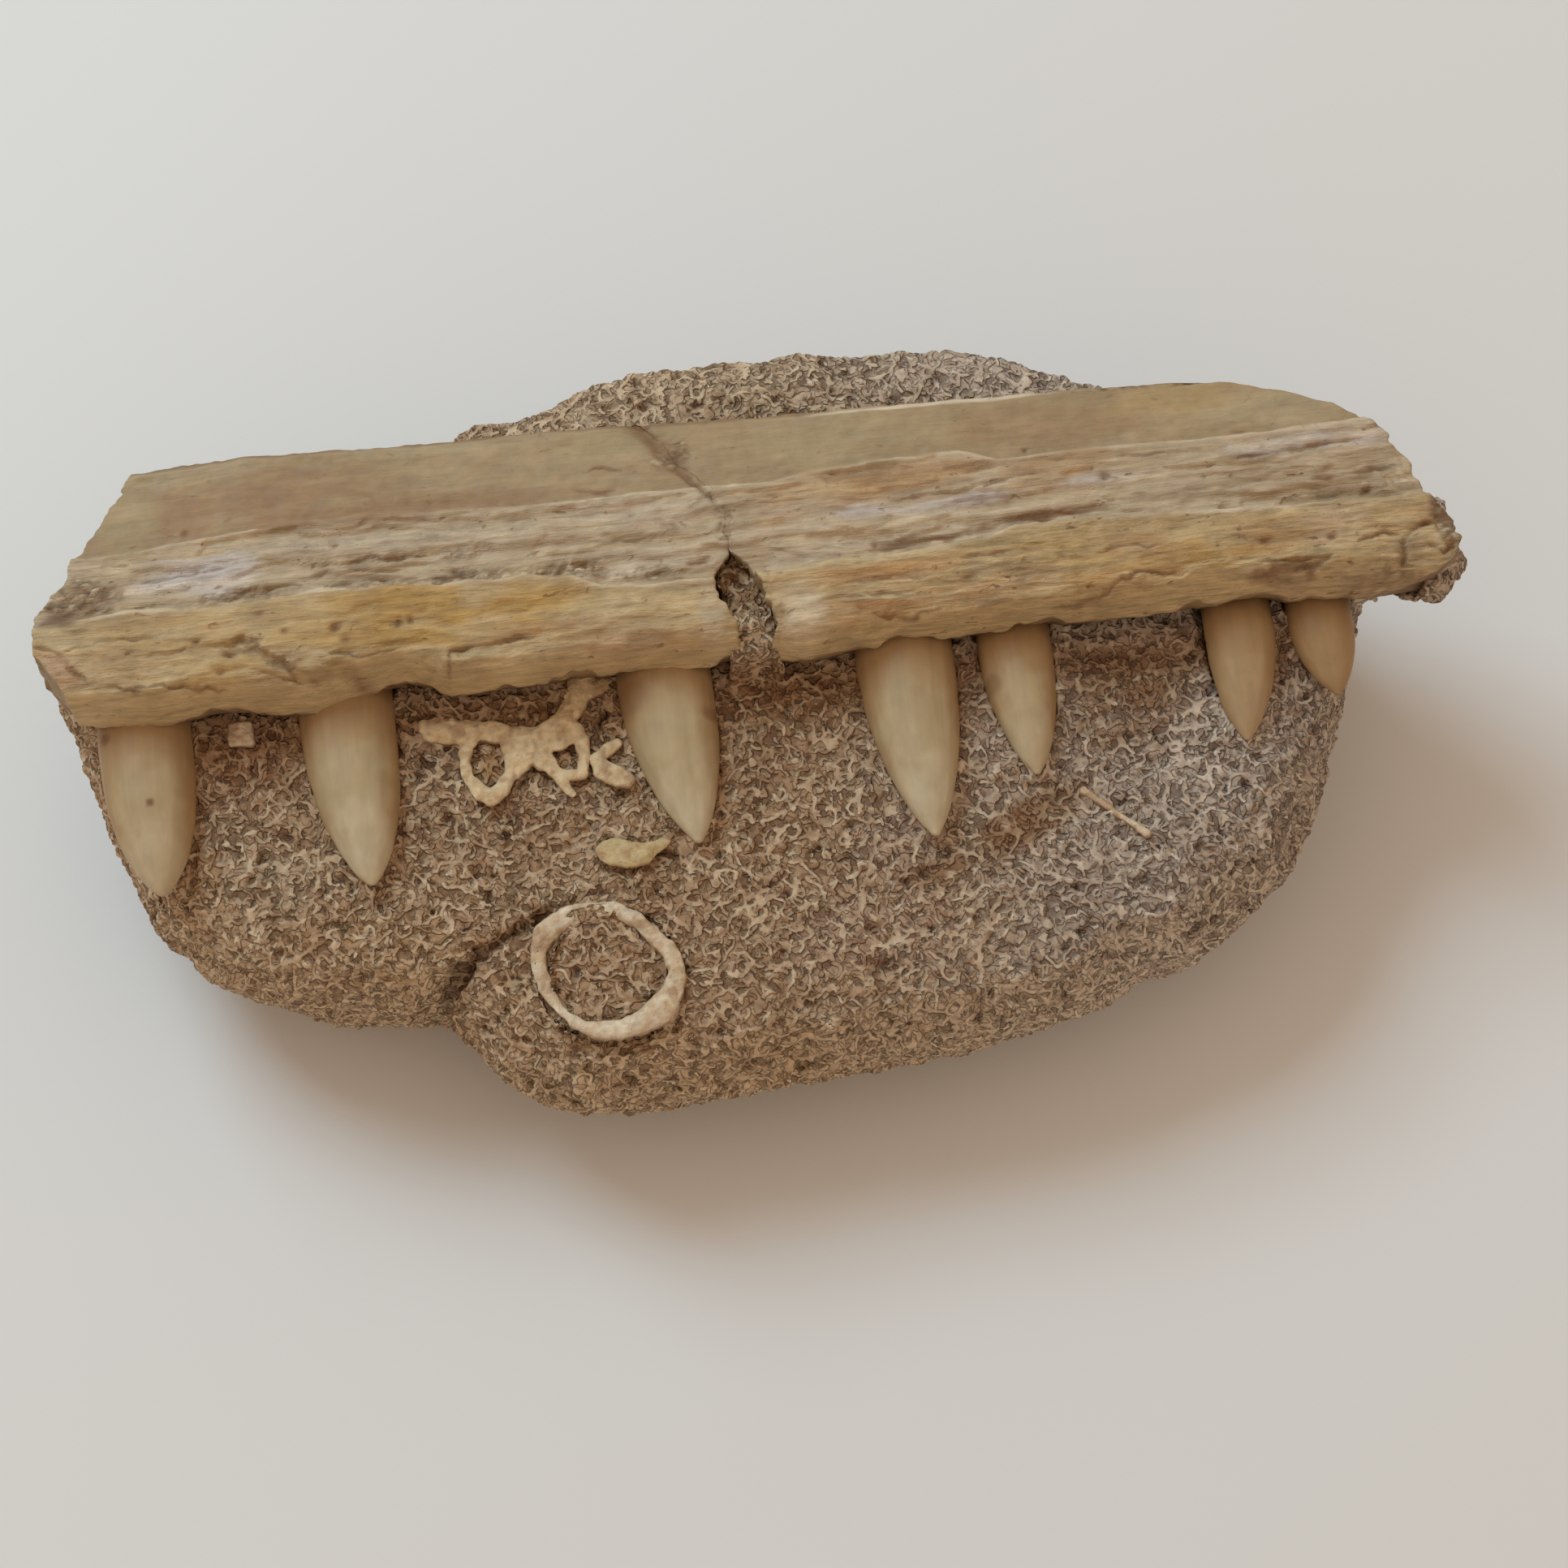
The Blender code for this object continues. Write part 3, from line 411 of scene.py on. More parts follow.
# Fish scale, spine and chip of bone: bars as (x, y, radius), and their heights
SCALE_ARC = (
    (-17.4, -14.4, 1), (-16.5, -14.7, 1.7), (-15.2, -15, 1.6), (-13.6, -15.1, 1.4), (-12, -14.7, 0.8),
    (-10.6, -13.7, 0.5), (-9.6, -12.8, 0.25),
)
SCALE_Z = 25.95
SPINE = (
    (33.2, -12.8, 0.5), (34.4, -14, 0.38), (35.7, -15, 0.34), (36.8, -16.2, 0.4), (38, -17.2, 0.48),
    (39, -18.2, 0.4),
)
SPINE_Z = 25.6
CHIP = (
    (-55.1, 1, 0.45), (-53.3, 1, 0.45), (-53.3, 3, 0.45), (-55.1, 3, 0.45), (-55.1, 1.6, 0.45),
    (-54, 1.6, 0.45), (-54, 2.4, 0.45), (-54.6, 2.4, 0.45), (-54.6, 1.8, 0.45),
)
CHIP_Z = 27.5

# Curled grains of the rock: pattern scale, shift, colour name, strength
ROCK_CURLS = (
    (600.0, 0.13, "matrix_brown", 0.6),
    (540.0, 0.31, "matrix_pale", 0.6),
    (480.0, 0.57, "flake", 0.6),
    (580.0, 0.83, "matrix_pale", 0.45),
)
# Step of the slope measurement, and half the width of a curl in those steps
CURL_REACH = 0.00008
CURL_WIDTH = 2.9
# Slope that is added where the pattern is flat, so that no curl grows wide there
LEAST_SLOPE = 0.008
# Strength of the rock's colour at its greyest end
ROCK_GREYEST = 0.74

# Tones of the rock: x, y, half length, half width, slope, strength, colour name
ROCK_PATCHES = (
    (-53, -12.5, 5, 2.4, -0.1, 0.6, "matrix_pale"),
    (-50, -16, 3.5, 1.8, 0, 0.45, "matrix_pale"),
    (58, -13, 9, 15, 0, 0.5, "matrix_grey"),
    (26, -34, 26, 7, 0, 0.5, "matrix_grey"),
    (46.5, -13, 9, 3.6, -0.05, 0.6, "matrix_pale"),
    (8, 36, 45, 7, 0, 0.9, "matrix_pale"),
    (52, -17, 7, 7, 0, 0.45, "matrix_grey"),
    (41, -22, 9, 6, 0, 0.4, "matrix_grey"),
    (24, -30, 16, 6, 0, 0.3, "matrix_grey"),
    (10, -26, 9, 5, 0, 0.35, "matrix_mauve"),
    (13, -17, 5, 4, 0, 0.3, "matrix_mauve"),
    (26, -15.8, 9, 2.8, 0.4, 0.9, "matrix_brown"),
    (18, -19.4, 5, 2.2, 0.2, 0.75, "matrix_brown"),
    (39.5, -1.5, 8, 5, 0, 0.8, "matrix_brown"),
    (38, -6.5, 6, 3, -0.1, 0.45, "matrix_brown"),
    (56, 0, 4, 4, 0, 0.6, "matrix_brown"),
    (22.5, -2, 3.5, 4, 0, 0.55, "matrix_brown"),
    (3, -0.5, 7, 3.6, 0, 0.5, "matrix_brown"),
    (0, -6, 4, 4, 0, 0.3, "matrix_brown"),
    (-54.3, -2.5, 5.5, 5, 0, 0.6, "matrix_red"),
    (-68, -2, 2.5, 7, 0, 0.55, "matrix_tan"),
    (-29, -11, 8, 3, 0, 0.35, "matrix_brown"),
    (-24, 1.8, 8, 2.2, 0, 0.6, "matrix_brown"),
    (-33.5, -26, 3, 2, 0.3, 0.55, "matrix_brown"),
    (-45, -22, 14, 5, 0, 0.35, "matrix_tan"),
    (-12, -19.2, 7, 1.8, 0, 0.4, "matrix_brown"),
    (-60, -15, 4, 6, 0, 0.4, "matrix_tan"),
    (-28.5, -3.6, 2.6, 3.2, 0, 0.85, "rust_pale"),
    (-20.8, -3.6, 1.6, 2.4, 0, 0.6, "rust_pale"),
    (-16.6, 1.6, 2, 3, 0, 0.6, "matrix_pale"),
    (-15.6, -6, 2.4, 3, 0, 0.6, "matrix_pale"),
    (-12.5, -16, 4, 1.2, 0.2, 0.7, "matrix_brown"),
    (-21, -21.5, 3, 1.6, 0, 0.35, "matrix_mauve"),
)
# Where the two blocks of rock meet in front of the teeth: width and depth of the seam, and its line
BLOCK_SEAM = (
    (0.3, 0.4, ((-15, -18.4), (-20, -18.7), (-25, -20.6))),
    (0.5, 1, ((-24, -20), (-28, -22.3), (-32.6, -25.1))),
    (0.7, 1.6, ((-31.5, -24.2), (-33.6, -25.6), (-36.2, -27.4))),
)
# Line in plan that parts the rock into its left and its right piece
BREAK_LINE = (
    (-36.6, -45), (-36.2, -26.5), (-32.6, -25), (-24.6, -20), (-18, -18.6), (-8, -18.3), (-3.2, -15),
    (-2.2, -6), (0.2, 2), (0, 13), (-1.4, 19.5), (-4.7, 23.2), (-6.4, 26.6), (-9, 31), (-11, 45),
)


def linear(name):
    """A named colour as the linear values that shaders take."""
    share = np.array(COLOURS[name], float) / 255.0
    return np.where(share <= 0.04045, share / 12.92, ((share + 0.055) / 1.055) ** 2.4)


def eased(value, low, high):
    """0 below low, 1 above high, and a smooth step between them."""
    t = np.clip((value - low) / (high - low), 0.0, 1.0)
    return t * t * (3.0 - 2.0 * t)


def fading(value, low, high):
    """1 below low and 0 above high."""
    return 1.0 - eased(value, low, high)


def along(line, key):
    """The second number of a line of points at this value of its first."""
    return np.interp(key, *np.array(line, float).T)


def tinted(colour, name, share):
    """One colour, or one for each point, moved by this share towards a named colour."""
    return colour + (linear(name) - colour) * np.asarray(share)[..., None]


def bell(gap, width):
    """1 where the gap is nothing, falling off to both sides over this width."""
    return np.exp(-((gap / width) ** 2))


def in_plan(x, y):
    """Points at no height, for patterns that depend on the plan alone."""
    return np.stack([x, y, np.zeros_like(x)], axis=-1)


def hashed(cells, seed):
    """A steady random number from 0 to 1 for each cell of a grid of whole numbers."""
    c = cells.astype(np.int64)
    h = c[..., 0] * 73856093 ^ c[..., 1] * 19349663 ^ c[..., 2] * 83492791 ^ (seed * 1013904223)
    h = ((h ^ (h >> 13)) * 1274126177) & 0xFFFFFFFF
    h = ((h ^ (h >> 16)) * 668265263) & 0xFFFFFFFF
    return ((h ^ (h >> 15)) & 0xFFFFFF) / float(0xFFFFFF)


def waves(points, size, seed):
    """Smooth noise from about -1 to 1 whose features are this size, as a number or for each axis."""
    p = points / np.array(size)
    cell = np.floor(p)
    t = p - cell
    t = t * t * t * (t * (t * 6.0 - 15.0) + 10.0)
    total = np.zeros(p.shape[:-1])
    for corner in np.ndindex(2, 2, 2):
        corner = np.array(corner)
        weight = np.prod(np.where(corner == 1, t, 1.0 - t), axis=-1)
        total += weight * hashed(cell + corner, seed)
    return total * 2.0 - 1.0


def long_waves(points, length, width, seed):
    """Noise that is drawn out along the jaw."""
    return waves(points, (length, width, length), seed)


def grains(points, size, seed):
    """Cells of about this size: distance to the nearest centre, to its border, and its own number."""
    p = points / np.array(size)
    cell = np.floor(p)
    nearest = np.full(len(p), 9.0)
    second = np.full(len(p), 9.0)
    number = np.zeros(len(p))
    for step in np.ndindex(3, 3, 3):
        there = cell + (np.array(step) - 1)
        centre = there + np.stack([hashed(there, seed + k) for k in (1, 2, 3)], axis=1)
        distance = np.linalg.norm(p - centre, axis=1)
        closer = distance < nearest
        second = np.where(closer, nearest, np.minimum(second, distance))
        number = np.where(closer, hashed(there, seed + 4), number)
        nearest = np.where(closer, distance, nearest)
    return nearest, second - nearest, number


def beside_line(x, y, line):
    """How far each point is from a line of points in plan, and how far along it that is, from 0 to 1."""
    nearest = np.full(len(x), 1e9)
    share = np.zeros(len(x))
    lengths = [math.hypot(bx - ax, by - ay) for (ax, ay), (bx, by) in zip(line, line[1:])]
    start = 0.0
    for (ax, ay), (bx, by), length in zip(line, line[1:], lengths):
        dx, dy = bx - ax, by - ay
        t = np.clip(((x - ax) * dx + (y - ay) * dy) / length**2, 0.0, 1.0)
        gap = np.hypot(x - ax - t * dx, y - ay - t * dy)
        share = np.where(gap < nearest, (start + t * length) / sum(lengths), share)
        nearest = np.minimum(nearest, gap)
        start += length
    return nearest, share


def distance_to_bar(x, y, bar):
    """How far each point is outside a bar given as a line of (x, y, radius)."""
    nearest = np.full(len(x), 1e9)
    for (ax, ay, ar), (bx, by, br) in zip(bar, bar[1:]):
        dx, dy = bx - ax, by - ay
        t = np.clip(((x - ax) * dx + (y - ay) * dy) / (dx * dx + dy * dy), 0.0, 1.0)
        nearest = np.minimum(nearest, np.hypot(x - ax - t * dx, y - ay - t * dy) - ar - t * (br - ar))
    return nearest


def terraced(value, steps, soft):
    """Turns smooth values into flat steps with a short slope between them."""
    scaled = value * steps
    base = np.floor(scaled)
    return (base + eased(scaled - base, 1.0 - soft, 1.0)) / steps


def to_row(points):
    """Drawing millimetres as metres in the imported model's frame, kept inside its box."""
    moved = (np.asarray(points, float) - FOOT_CENTRE) * MM
    return np.clip(moved, np.array(CAD_BOX[0]), np.array(CAD_BOX[1]))


def from_row(points):
    return np.asarray(points, float) / MM + FOOT_CENTRE


def store(mesh, name, values):
    """Keeps a number or a colour on each vertex, for the materials to read."""
    values = np.asarray(values, np.float32)
    if values.ndim == 1:
        mesh.attributes.new(name, "FLOAT", "POINT").data.foreach_set("value", values)
        return
    colour = np.concatenate([values, np.ones((len(values), 1), np.float32)], axis=1)
    mesh.attributes.new(name, "FLOAT_COLOR", "POINT").data.foreach_set("color", colour.ravel())


def mesh_of(name, points, *face_sets):
    """A mesh from drawing points and sets of faces, each of three or four corners."""
    mesh = bpy.data.meshes.new(name)
    faces = [face for block in face_sets for face in np.asarray(block).tolist()]
    mesh.from_pydata(to_row(points).tolist(), [], faces)
    return mesh


def settled(obj):
    """Applies the modifiers of obj, so that its own mesh is the final one."""
    bpy.context.view_layer.update()
    graph = bpy.context.evaluated_depsgraph_get()
    final = obj.evaluated_get(graph)
    mesh = bpy.data.meshes.new_from_object(final, preserve_all_data_layers=True, depsgraph=graph)
    obj.modifiers.clear()
    obj.data = mesh
    return obj


def slimmed(obj, most=MOST_FACES):
    """Takes faces away where the surface is flat, down to this many triangles."""
    count = sum(len(p.vertices) - 2 for p in obj.data.polygons)
    if count > most:
        thin = obj.modifiers.new("slim", "DECIMATE")
        thin.ratio = most / count
        settled(obj)
    return obj


def finish(obj, material, slot, *nodes):
    """Gives a piece its material and body, and hides the model's nodes that it stands for; the slot argument
    is not used.
    """
    obj.data.materials.clear()
    obj.data.materials.append(material_called(material))
    obj.data.shade_smooth()
    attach(obj, BODY)
    if nodes:
        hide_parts(*nodes)
    return obj


def new_object(name, mesh):
    obj = bpy.data.objects.new(name, mesh)
    bpy.context.scene.collection.objects.link(obj)
    return obj


@contextmanager
def opened(mesh):
    """Opens a mesh for editing, and writes it back at the end."""
    bm = bmesh.new()
    bm.from_mesh(mesh)
    yield bm
    bm.to_mesh(mesh)
    bm.free()


def clean_copy(node):
    """A node's mesh with its doubled points joined."""
    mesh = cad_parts[node].data.copy()
    with opened(mesh) as bm:
        bmesh.ops.remove_doubles(bm, verts=bm.verts, dist=1e-6)
    return mesh


def evened(obj, voxel, grow=0.0):
    """Gives obj an even mesh, first growing it by grow so that thin gaps close."""
    if grow:
        even = obj.modifiers.new("first", "REMESH")
        even.mode, even.voxel_size = "VOXEL", voxel * 1.2
        swell = obj.modifiers.new("swell", "DISPLACE")
        swell.strength, swell.mid_level = grow, 0.0
    even = obj.modifiers.new("even", "REMESH")
    even.mode, even.voxel_size = "VOXEL", voxel
    return settled(obj)


def places_and_normals(mesh):
    count = len(mesh.vertices)
    places, normals = np.empty(count * 3), np.empty(count * 3)
    mesh.vertices.foreach_get("co", places)
    mesh.vertex_normals.foreach_get("vector", normals)
    return from_row(places.reshape(-1, 3)), normals.reshape(-1, 3)


def set_places(mesh, points):
    mesh.vertices.foreach_set("co", to_row(points).ravel())
    mesh.update()


class Nodes:
    """A short way to write a material's node tree."""

    def __init__(self, name, roughness, specular=0.3):
        self.material = bpy.data.materials.new(name)
        self.material.use_nodes = True
        self.tree = self.material.node_tree
        self.shader = self.tree.nodes["Principled BSDF"]
        self.shader.inputs["Roughness"].default_value = roughness
        self.shader.inputs["Specular IOR Level"].default_value = specular
        self.place = self.add("ShaderNodeTexCoord").outputs["Object"]

    def add(self, kind, links=(), **values):
        node = self.tree.nodes.new(kind)
        for key, value in values.items():
            setattr(node, key, value)
        for socket, source in dict(links).items():
            self.link(source, node.inputs[socket])
        return node

    def link(self, source, socket):
        if hasattr(source, "is_output"):
            self.tree.links.new(source, socket)
        else:
            socket.default_value = source

    def stretched(self, scale):
        """The place on the object, scaled for each axis."""
        return self.add("ShaderNodeVectorMath", {0: self.place, 1: scale}, operation="MULTIPLY").outputs[0]

    def noise(self, scale, detail=3.0, roughness=0.55, distortion=0.0, place=None):
        links = {"Vector": place or self.place, "Scale": scale, "Detail": detail}
        links |= {"Roughness": roughness, "Distortion": distortion}
        return self.add("ShaderNodeTexNoise", links).outputs["Fac"]

    def plain_noise(self, scale, shift):
        """A noise without finer detail, read at a place moved by this shift."""
        place = self.add("ShaderNodeVectorMath", {0: self.place, 1: shift}, operation="ADD").outputs[0]
        return self.noise(scale, 0.0, 0.5, 0.0, place)

    def mapped(self, value, low, high, to_low=0.0, to_high=1.0):
        links = {"Value": value, "From Min": low, "From Max": high, "To Min": to_low, "To Max": to_high}
        return self.add("ShaderNodeMapRange", links).outputs["Result"]

    def math(self, kind, a, b=0.0):
        return self.add("ShaderNodeMath", {0: a, 1: b}, operation=kind).outputs[0]

    def mix(self, share, a, b, kind="MIX"):
        node = self.add("ShaderNodeMix", data_type="RGBA", blend_type=kind)
        self.link(share, node.inputs["Factor"])
        self.link(a, node.inputs[6])
        self.link(b, node.inputs[7])
        return node.outputs[2]

    def shaded(self, colour, shade):
        """The colour made lighter or darker by a number."""
        grey = self.add("ShaderNodeCombineColor", {0: shade, 1: shade, 2: shade}).outputs[0]
        return self.mix(1.0, colour, grey, "MULTIPLY")

    def attribute(self, name, output="Color"):
        return self.add("ShaderNodeAttribute", attribute_name=name).outputs[output]

    def colour(self, socket):
        self.link(socket, self.shader.inputs["Base Color"])

    def roughness(self, socket):
        self.link(socket, self.shader.inputs["Roughness"])

    def bump(self, height, distance, strength=1.0):
        links = {"Height": height, "Distance": distance, "Strength": strength}
        self.link(self.add("ShaderNodeBump", links).outputs["Normal"], self.shader.inputs["Normal"])


def rgba(name):
    return (*linear(name), 1.0)


def curls(n, scale, shift):
    """Short curved grains: bands of one width along the contours of a noise, broken into bits."""
    at = (shift, -shift, 0.5 * shift)
    here = n.plain_noise(scale, at)
    rises = []
    for axis in range(3):
        step = list(at)
        step[axis] += CURL_REACH
        rises.append(n.math("SUBTRACT", n.plain_noise(scale, step), here))
    slope = n.add("ShaderNodeCombineXYZ", dict(enumerate(rises))).outputs[0]
    slope = n.add("ShaderNodeVectorMath", {0: slope}, operation="LENGTH").outputs["Value"]
    away = n.math("ABSOLUTE", n.math("SUBTRACT", here, 0.5))
    away = n.math("DIVIDE", away, n.math("ADD", slope, LEAST_SLOPE))
    broken = n.mapped(n.plain_noise(scale * 2.0, (0.0, shift, shift)), 0.44, 0.52)
    return n.math("MULTIPLY", n.mapped(away, CURL_WIDTH, 0.45 * CURL_WIDTH), broken)


def rock_material(name):
    n = Nodes(name, 0.92, 0.2)
    colour = n.attribute("paint")
    loud = n.mapped(n.attribute("quiet", "Fac"), 0.0, 1.0, 1.0, 0.25)
    height = n.math("MULTIPLY", n.noise(1500.0, 2.0, 0.6), 0.25)
    covered = 0.0
    for scale, shift, tone, share in ROCK_CURLS:
        curl = curls(n, scale, shift)
        strength = n.plain_noise(scale * 0.8, (shift, 0.0, shift))
        strength = n.mapped(strength, 0.35, 0.65, 0.4 * share, share)
        colour = n.mix(n.math("MULTIPLY", n.math("MULTIPLY", curl, strength), loud), colour, rgba(tone))
        height = n.math("MAXIMUM", height, curl)
        covered = n.math("MAXIMUM", covered, curl)
    gaps = n.math("SUBTRACT", 1.0, covered)
    # Pits in the gaps between the curls are darkened and set lower by the bump: partly their dark colour,
    # partly painted shade in them.
    pits = n.math("MULTIPLY", n.mapped(n.noise(760.0, 1.0, 0.6, 0.6), 0.54, 0.4), gaps)
    speck = n.mapped(n.noise(2400.0, 2.0, 0.6), 0.3, 0.7, 0.86, 1.1)
    colour = n.shaded(n.mix(n.math("MULTIPLY", pits, 0.62), colour, rgba("pit")), speck)
    strength = n.mapped(n.attribute("grey", "Fac"), 0.0, 1.0, 1.0, ROCK_GREYEST)
    n.colour(n.add("ShaderNodeHueSaturation", {"Saturation": strength, "Color": colour}).outputs[0])
    n.bump(n.math("SUBTRACT", height, n.math("MULTIPLY", pits, 0.8)), 0.00035, 1.0)
    return n.material


def bone_material(name):
    n = Nodes(name, 0.62, 0.3)
    split = n.attribute("split", "Fac")
    wide = n.noise(1.0, 4.0, 0.6, 0.4, n.stretched((190.0, 1300.0, 1300.0)))
    fine = n.noise(1.0, 3.0, 0.65, 0.6, n.stretched((420.0, 3200.0, 3200.0)))
    mottle = n.noise(380.0, 5.0, 0.65)
    shade = n.math("ADD", n.mapped(wide, 0.25, 0.75, -0.5, 0.5), n.mapped(fine, 0.25, 0.75, -0.35, 0.35))
    shade = n.math("MULTIPLY", shade, n.mapped(split, 0.0, 1.0, 0.12, 0.62))
    shade = n.math("ADD", shade, n.mapped(mottle, 0.3, 0.7, 0.88, 1.1))
    specks = n.mapped(n.noise(1.0, 2.0, 0.6, 0.5, n.stretched((520.0, 1100.0, 1100.0))), 0.34, 0.24)
    specks = n.math("MULTIPLY", specks, n.mapped(split, 0.0, 1.0, 0.25, 0.85))
    n.colour(n.mix(specks, n.shaded(n.attribute("paint"), shade), rgba("groove")))
    n.roughness(n.mapped(mottle, 0.3, 0.7, 0.5, 0.74))
    rough = n.math("ADD", wide, n.math("MULTIPLY", fine, 0.6))
    rough = n.math("MULTIPLY", rough, n.mapped(split, 0.0, 1.0, 0.35, 1.5))
    rough = n.math("ADD", rough, n.math("MULTIPLY", mottle, 0.5))
    n.bump(n.math("SUBTRACT", rough, n.math("MULTIPLY", specks, 0.8)), 0.00024, 0.9)
    return n.material


def small_material(name):
    n = Nodes(name, 0.65, 0.25)
    mottle = n.noise(1100.0, 4.0, 0.65)
    n.colour(n.shaded(n.attribute("paint"), n.mapped(mottle, 0.3, 0.7, 0.78, 1.14)))
    n.roughness(n.mapped(mottle, 0.3, 0.7, 0.55, 0.8))
    n.bump(mottle, 0.00035, 0.9)
    return n.material


def tooth_material(name):
    n = Nodes(name, 0.55, 0.3)
    streaks = n.noise(1.0, 3.0, 0.55, 0.2, n.stretched((900.0, 90.0, 900.0)))
    mottle = n.noise(330.0, 4.0, 0.6)
    shade = n.math("ADD", n.mapped(streaks, 0.3, 0.7, -0.08, 0.07), n.mapped(mottle, 0.3, 0.7, 0.94, 1.05))
    n.colour(n.shaded(n.attribute("paint"), shade))
    n.roughness(n.mapped(mottle, 0.3, 0.7, 0.48, 0.68))
    n.bump(streaks, 0.00008, 0.6)
    return n.material


MATERIALS = {
    "Phosphate rock": rock_material,
    "Fossil bone": bone_material,
    "Old bone": small_material,
    "Tooth enamel": tooth_material,
}


def material_called(name):
    """The material of this name, made when it is first asked for."""
    return bpy.data.materials.get(name) or MATERIALS[name](name)


def beside_teeth(x, y):
    """How far each point in plan is from the nearest tooth."""
    nearest = np.full(len(x), 1e9)
    for place, length, width, lean, *_ in TEETH:
        bar = (
            (place, 3.0, 0.5 * width),
            (place + 0.35 * lean, BONE_FRONT_Y - 0.4 * length, 0.46 * width),
            (place + 0.7 * lean, BONE_FRONT_Y - 0.75 * length, 0.28 * width),
            (place + lean, BONE_FRONT_Y - length, 0.0),
        )
        nearest = np.minimum(nearest, distance_to_bar(x, y, bar))
    return nearest


def beside_small_fossils(x, y):
    """How far each point in plan is from the nearest small fossil or the groove of one."""
    nearest = np.abs(np.hypot(x - RING_CENTRE[0], y - RING_CENTRE[1]) - RING_RADIUS) - 0.8
    for bar in ((*RING, RING[0]), SCALE_ARC, SPINE, CHIP, FILL_FRONT, *WEB_ARMS):
        nearest = np.minimum(nearest, distance_to_bar(x, y, bar))
    return nearest


def fill_grooves(obj):
    """Raises the narrow grooves of the solid round its small fossils to the rock beside them."""
    places, normals = places_and_normals(obj.data)
    low = places[:, :2].min(axis=0)
    index = ((places[:, :2] - low) / GROOVE_CELL).astype(int)
    level = np.zeros(index.max(axis=0) + 1)
    up = normals[:, 2] > 0.5
    np.maximum.at(level, (index[up, 0], index[up, 1]), places[up, 2])
    rows, columns = level.shape
    for widen in (True, True, False, False):
        edge = np.pad(level, 1, mode="edge")
        around = [edge[i : i + rows, j : j + columns] for i in range(3) for j in range(3)]
        level = np.max(around, axis=0) if widen else np.mean(around, axis=0)
    target = level[index[:, 0], index[:, 1]] - 0.3
    share = fading(beside_small_fossils(places[:, 0], places[:, 1]), 1.0, 2.0)
    share *= eased(places[:, 2], 18.0, 19.5)
    places[:, 2] += share * np.maximum(target - places[:, 2], 0.0)
    set_places(obj.data, places)
    return obj


def rock_relief(p, normals):
    """How far the rock lies below the solid at each point, its colour with painted light and shade in it,
    and how quiet its grains are.
    """
    x, y, z = p.T
    warp = np.stack([waves(p, 1.7, 60 + k) for k in range(3)], axis=1) * 0.55
    coarse_near, coarse_rim, coarse_id = grains(p + warp, 1.25, 10)
    fine_near, _, fine_id = grains(p + warp * 0.7, 0.68, 20)
    side = fading(normals[:, 2], 0.35, 0.75)
    height = waves(p, 3.2, 4) * 0.18 + side * (waves(p, 5.0, 8) * 0.35 + waves(p, 2.2, 9) * 0.3)
    height += 0.22 * fading(coarse_near, 0.1, 0.8) - 0.12 * fading(coarse_rim, 0.0, 0.16)
    height += 0.16 * fading(fine_near, 0.1, 0.7)
    pit = (coarse_id < 0.1) * fading(coarse_near, 0.35, 0.62)
    raised = (coarse_id > 0.86) * fading(coarse_near, 0.3, 0.6)
    height += -0.55 * pit + 0.2 * raised
    height += 0.55 * fading(beside_teeth(x, y), 0.1, 0.9) * eased(z, 21.0, 23.0)
    seam = np.zeros(len(p))
    for width, depth, line in BLOCK_SEAM:
        gap = beside_line(x, y, line)[0] + 0.15 * waves(p, 1.5, 33)
        cut = bell(gap, width) * eased(z, 6.0, 20.0)
        height -= depth * cut
        seam = np.maximum(seam, cut)
    depth = np.clip(0.3 - height, -0.5, 2.4) * eased(z, 0.4, 2.6)

    tone = np.clip(0.5 + 0.5 * waves(p, 13.0, 30) + 0.25 * waves(p, 4.0, 31), 0.0, 1.0)
    colour = tinted(linear("matrix"), "matrix_grey", tone * (0.3 + 0.5 * eased(x, 5.0, 45.0)))
    top = eased(normals[:, 2], 0.1, 0.6)
    wander = waves(p, 3.0, 34)
    quiet = np.zeros(len(p))
    for *patch, name in ROCK_PATCHES:
        share = top * patch_share(x, y, patch, 0.35, 1.3, 0.3 * wander)
        colour = tinted(colour, name, share)
        if name in ("matrix_brown", "matrix_red", "rust_pale"):
            quiet = np.maximum(quiet, share)
    # Steep sides are tinted tan. Sides that face the front are painted lighter with the pale flake colour,
    # which is painted light on the front sides.
    colour = tinted(colour, "matrix_tan", 0.3 * side)
    colour = tinted(colour, "flake", 0.6 * eased(-normals[:, 1], 0.2, 0.9))
    colour = tinted(colour, "matrix_dark", 0.15 * (fine_id < 0.35) * fading(fine_near, 0.3, 0.6))
    colour = tinted(colour, "flake", 0.45 * raised)
    # Pits, the borders of the grains and the block seam are darkened: partly their own dark colour, partly
    # painted shade in these hollows.
    dark = np.clip(0.7 * pit + 0.25 * fading(coarse_rim, 0.0, 0.14) + 0.8 * seam, 0.0, 1.0)
    colour = tinted(colour, "pit", dark)
    # Painted shade: the rock just under the bone's tooth edge is browner, and its grains are quieter.
    under = fading(np.abs(y - 1.0), 0.5, 4.0) * eased(z, 22.0, 25.0)
    return depth, tinted(colour, "matrix_brown", 0.6 * under), np.maximum(quiet, 0.7 * under)


def bent(x, y):
    """Plan points moved a little, so that lines and bands on the bone run unevenly."""
    points = in_plan(x, y)
    moved_y = y + 0.45 * long_waves(points, 7.0, 4.0, 50) + 0.16 * long_waves(points, 1.8, 0.9, 51)
    moved_x = x + 0.8 * long_waves(points, 3.0, 1.2, 52) + 0.3 * long_waves(points, 0.9, 0.6, 53)
    return in_plan(moved_x, moved_y - 0.03 * np.maximum(x, 0.0))


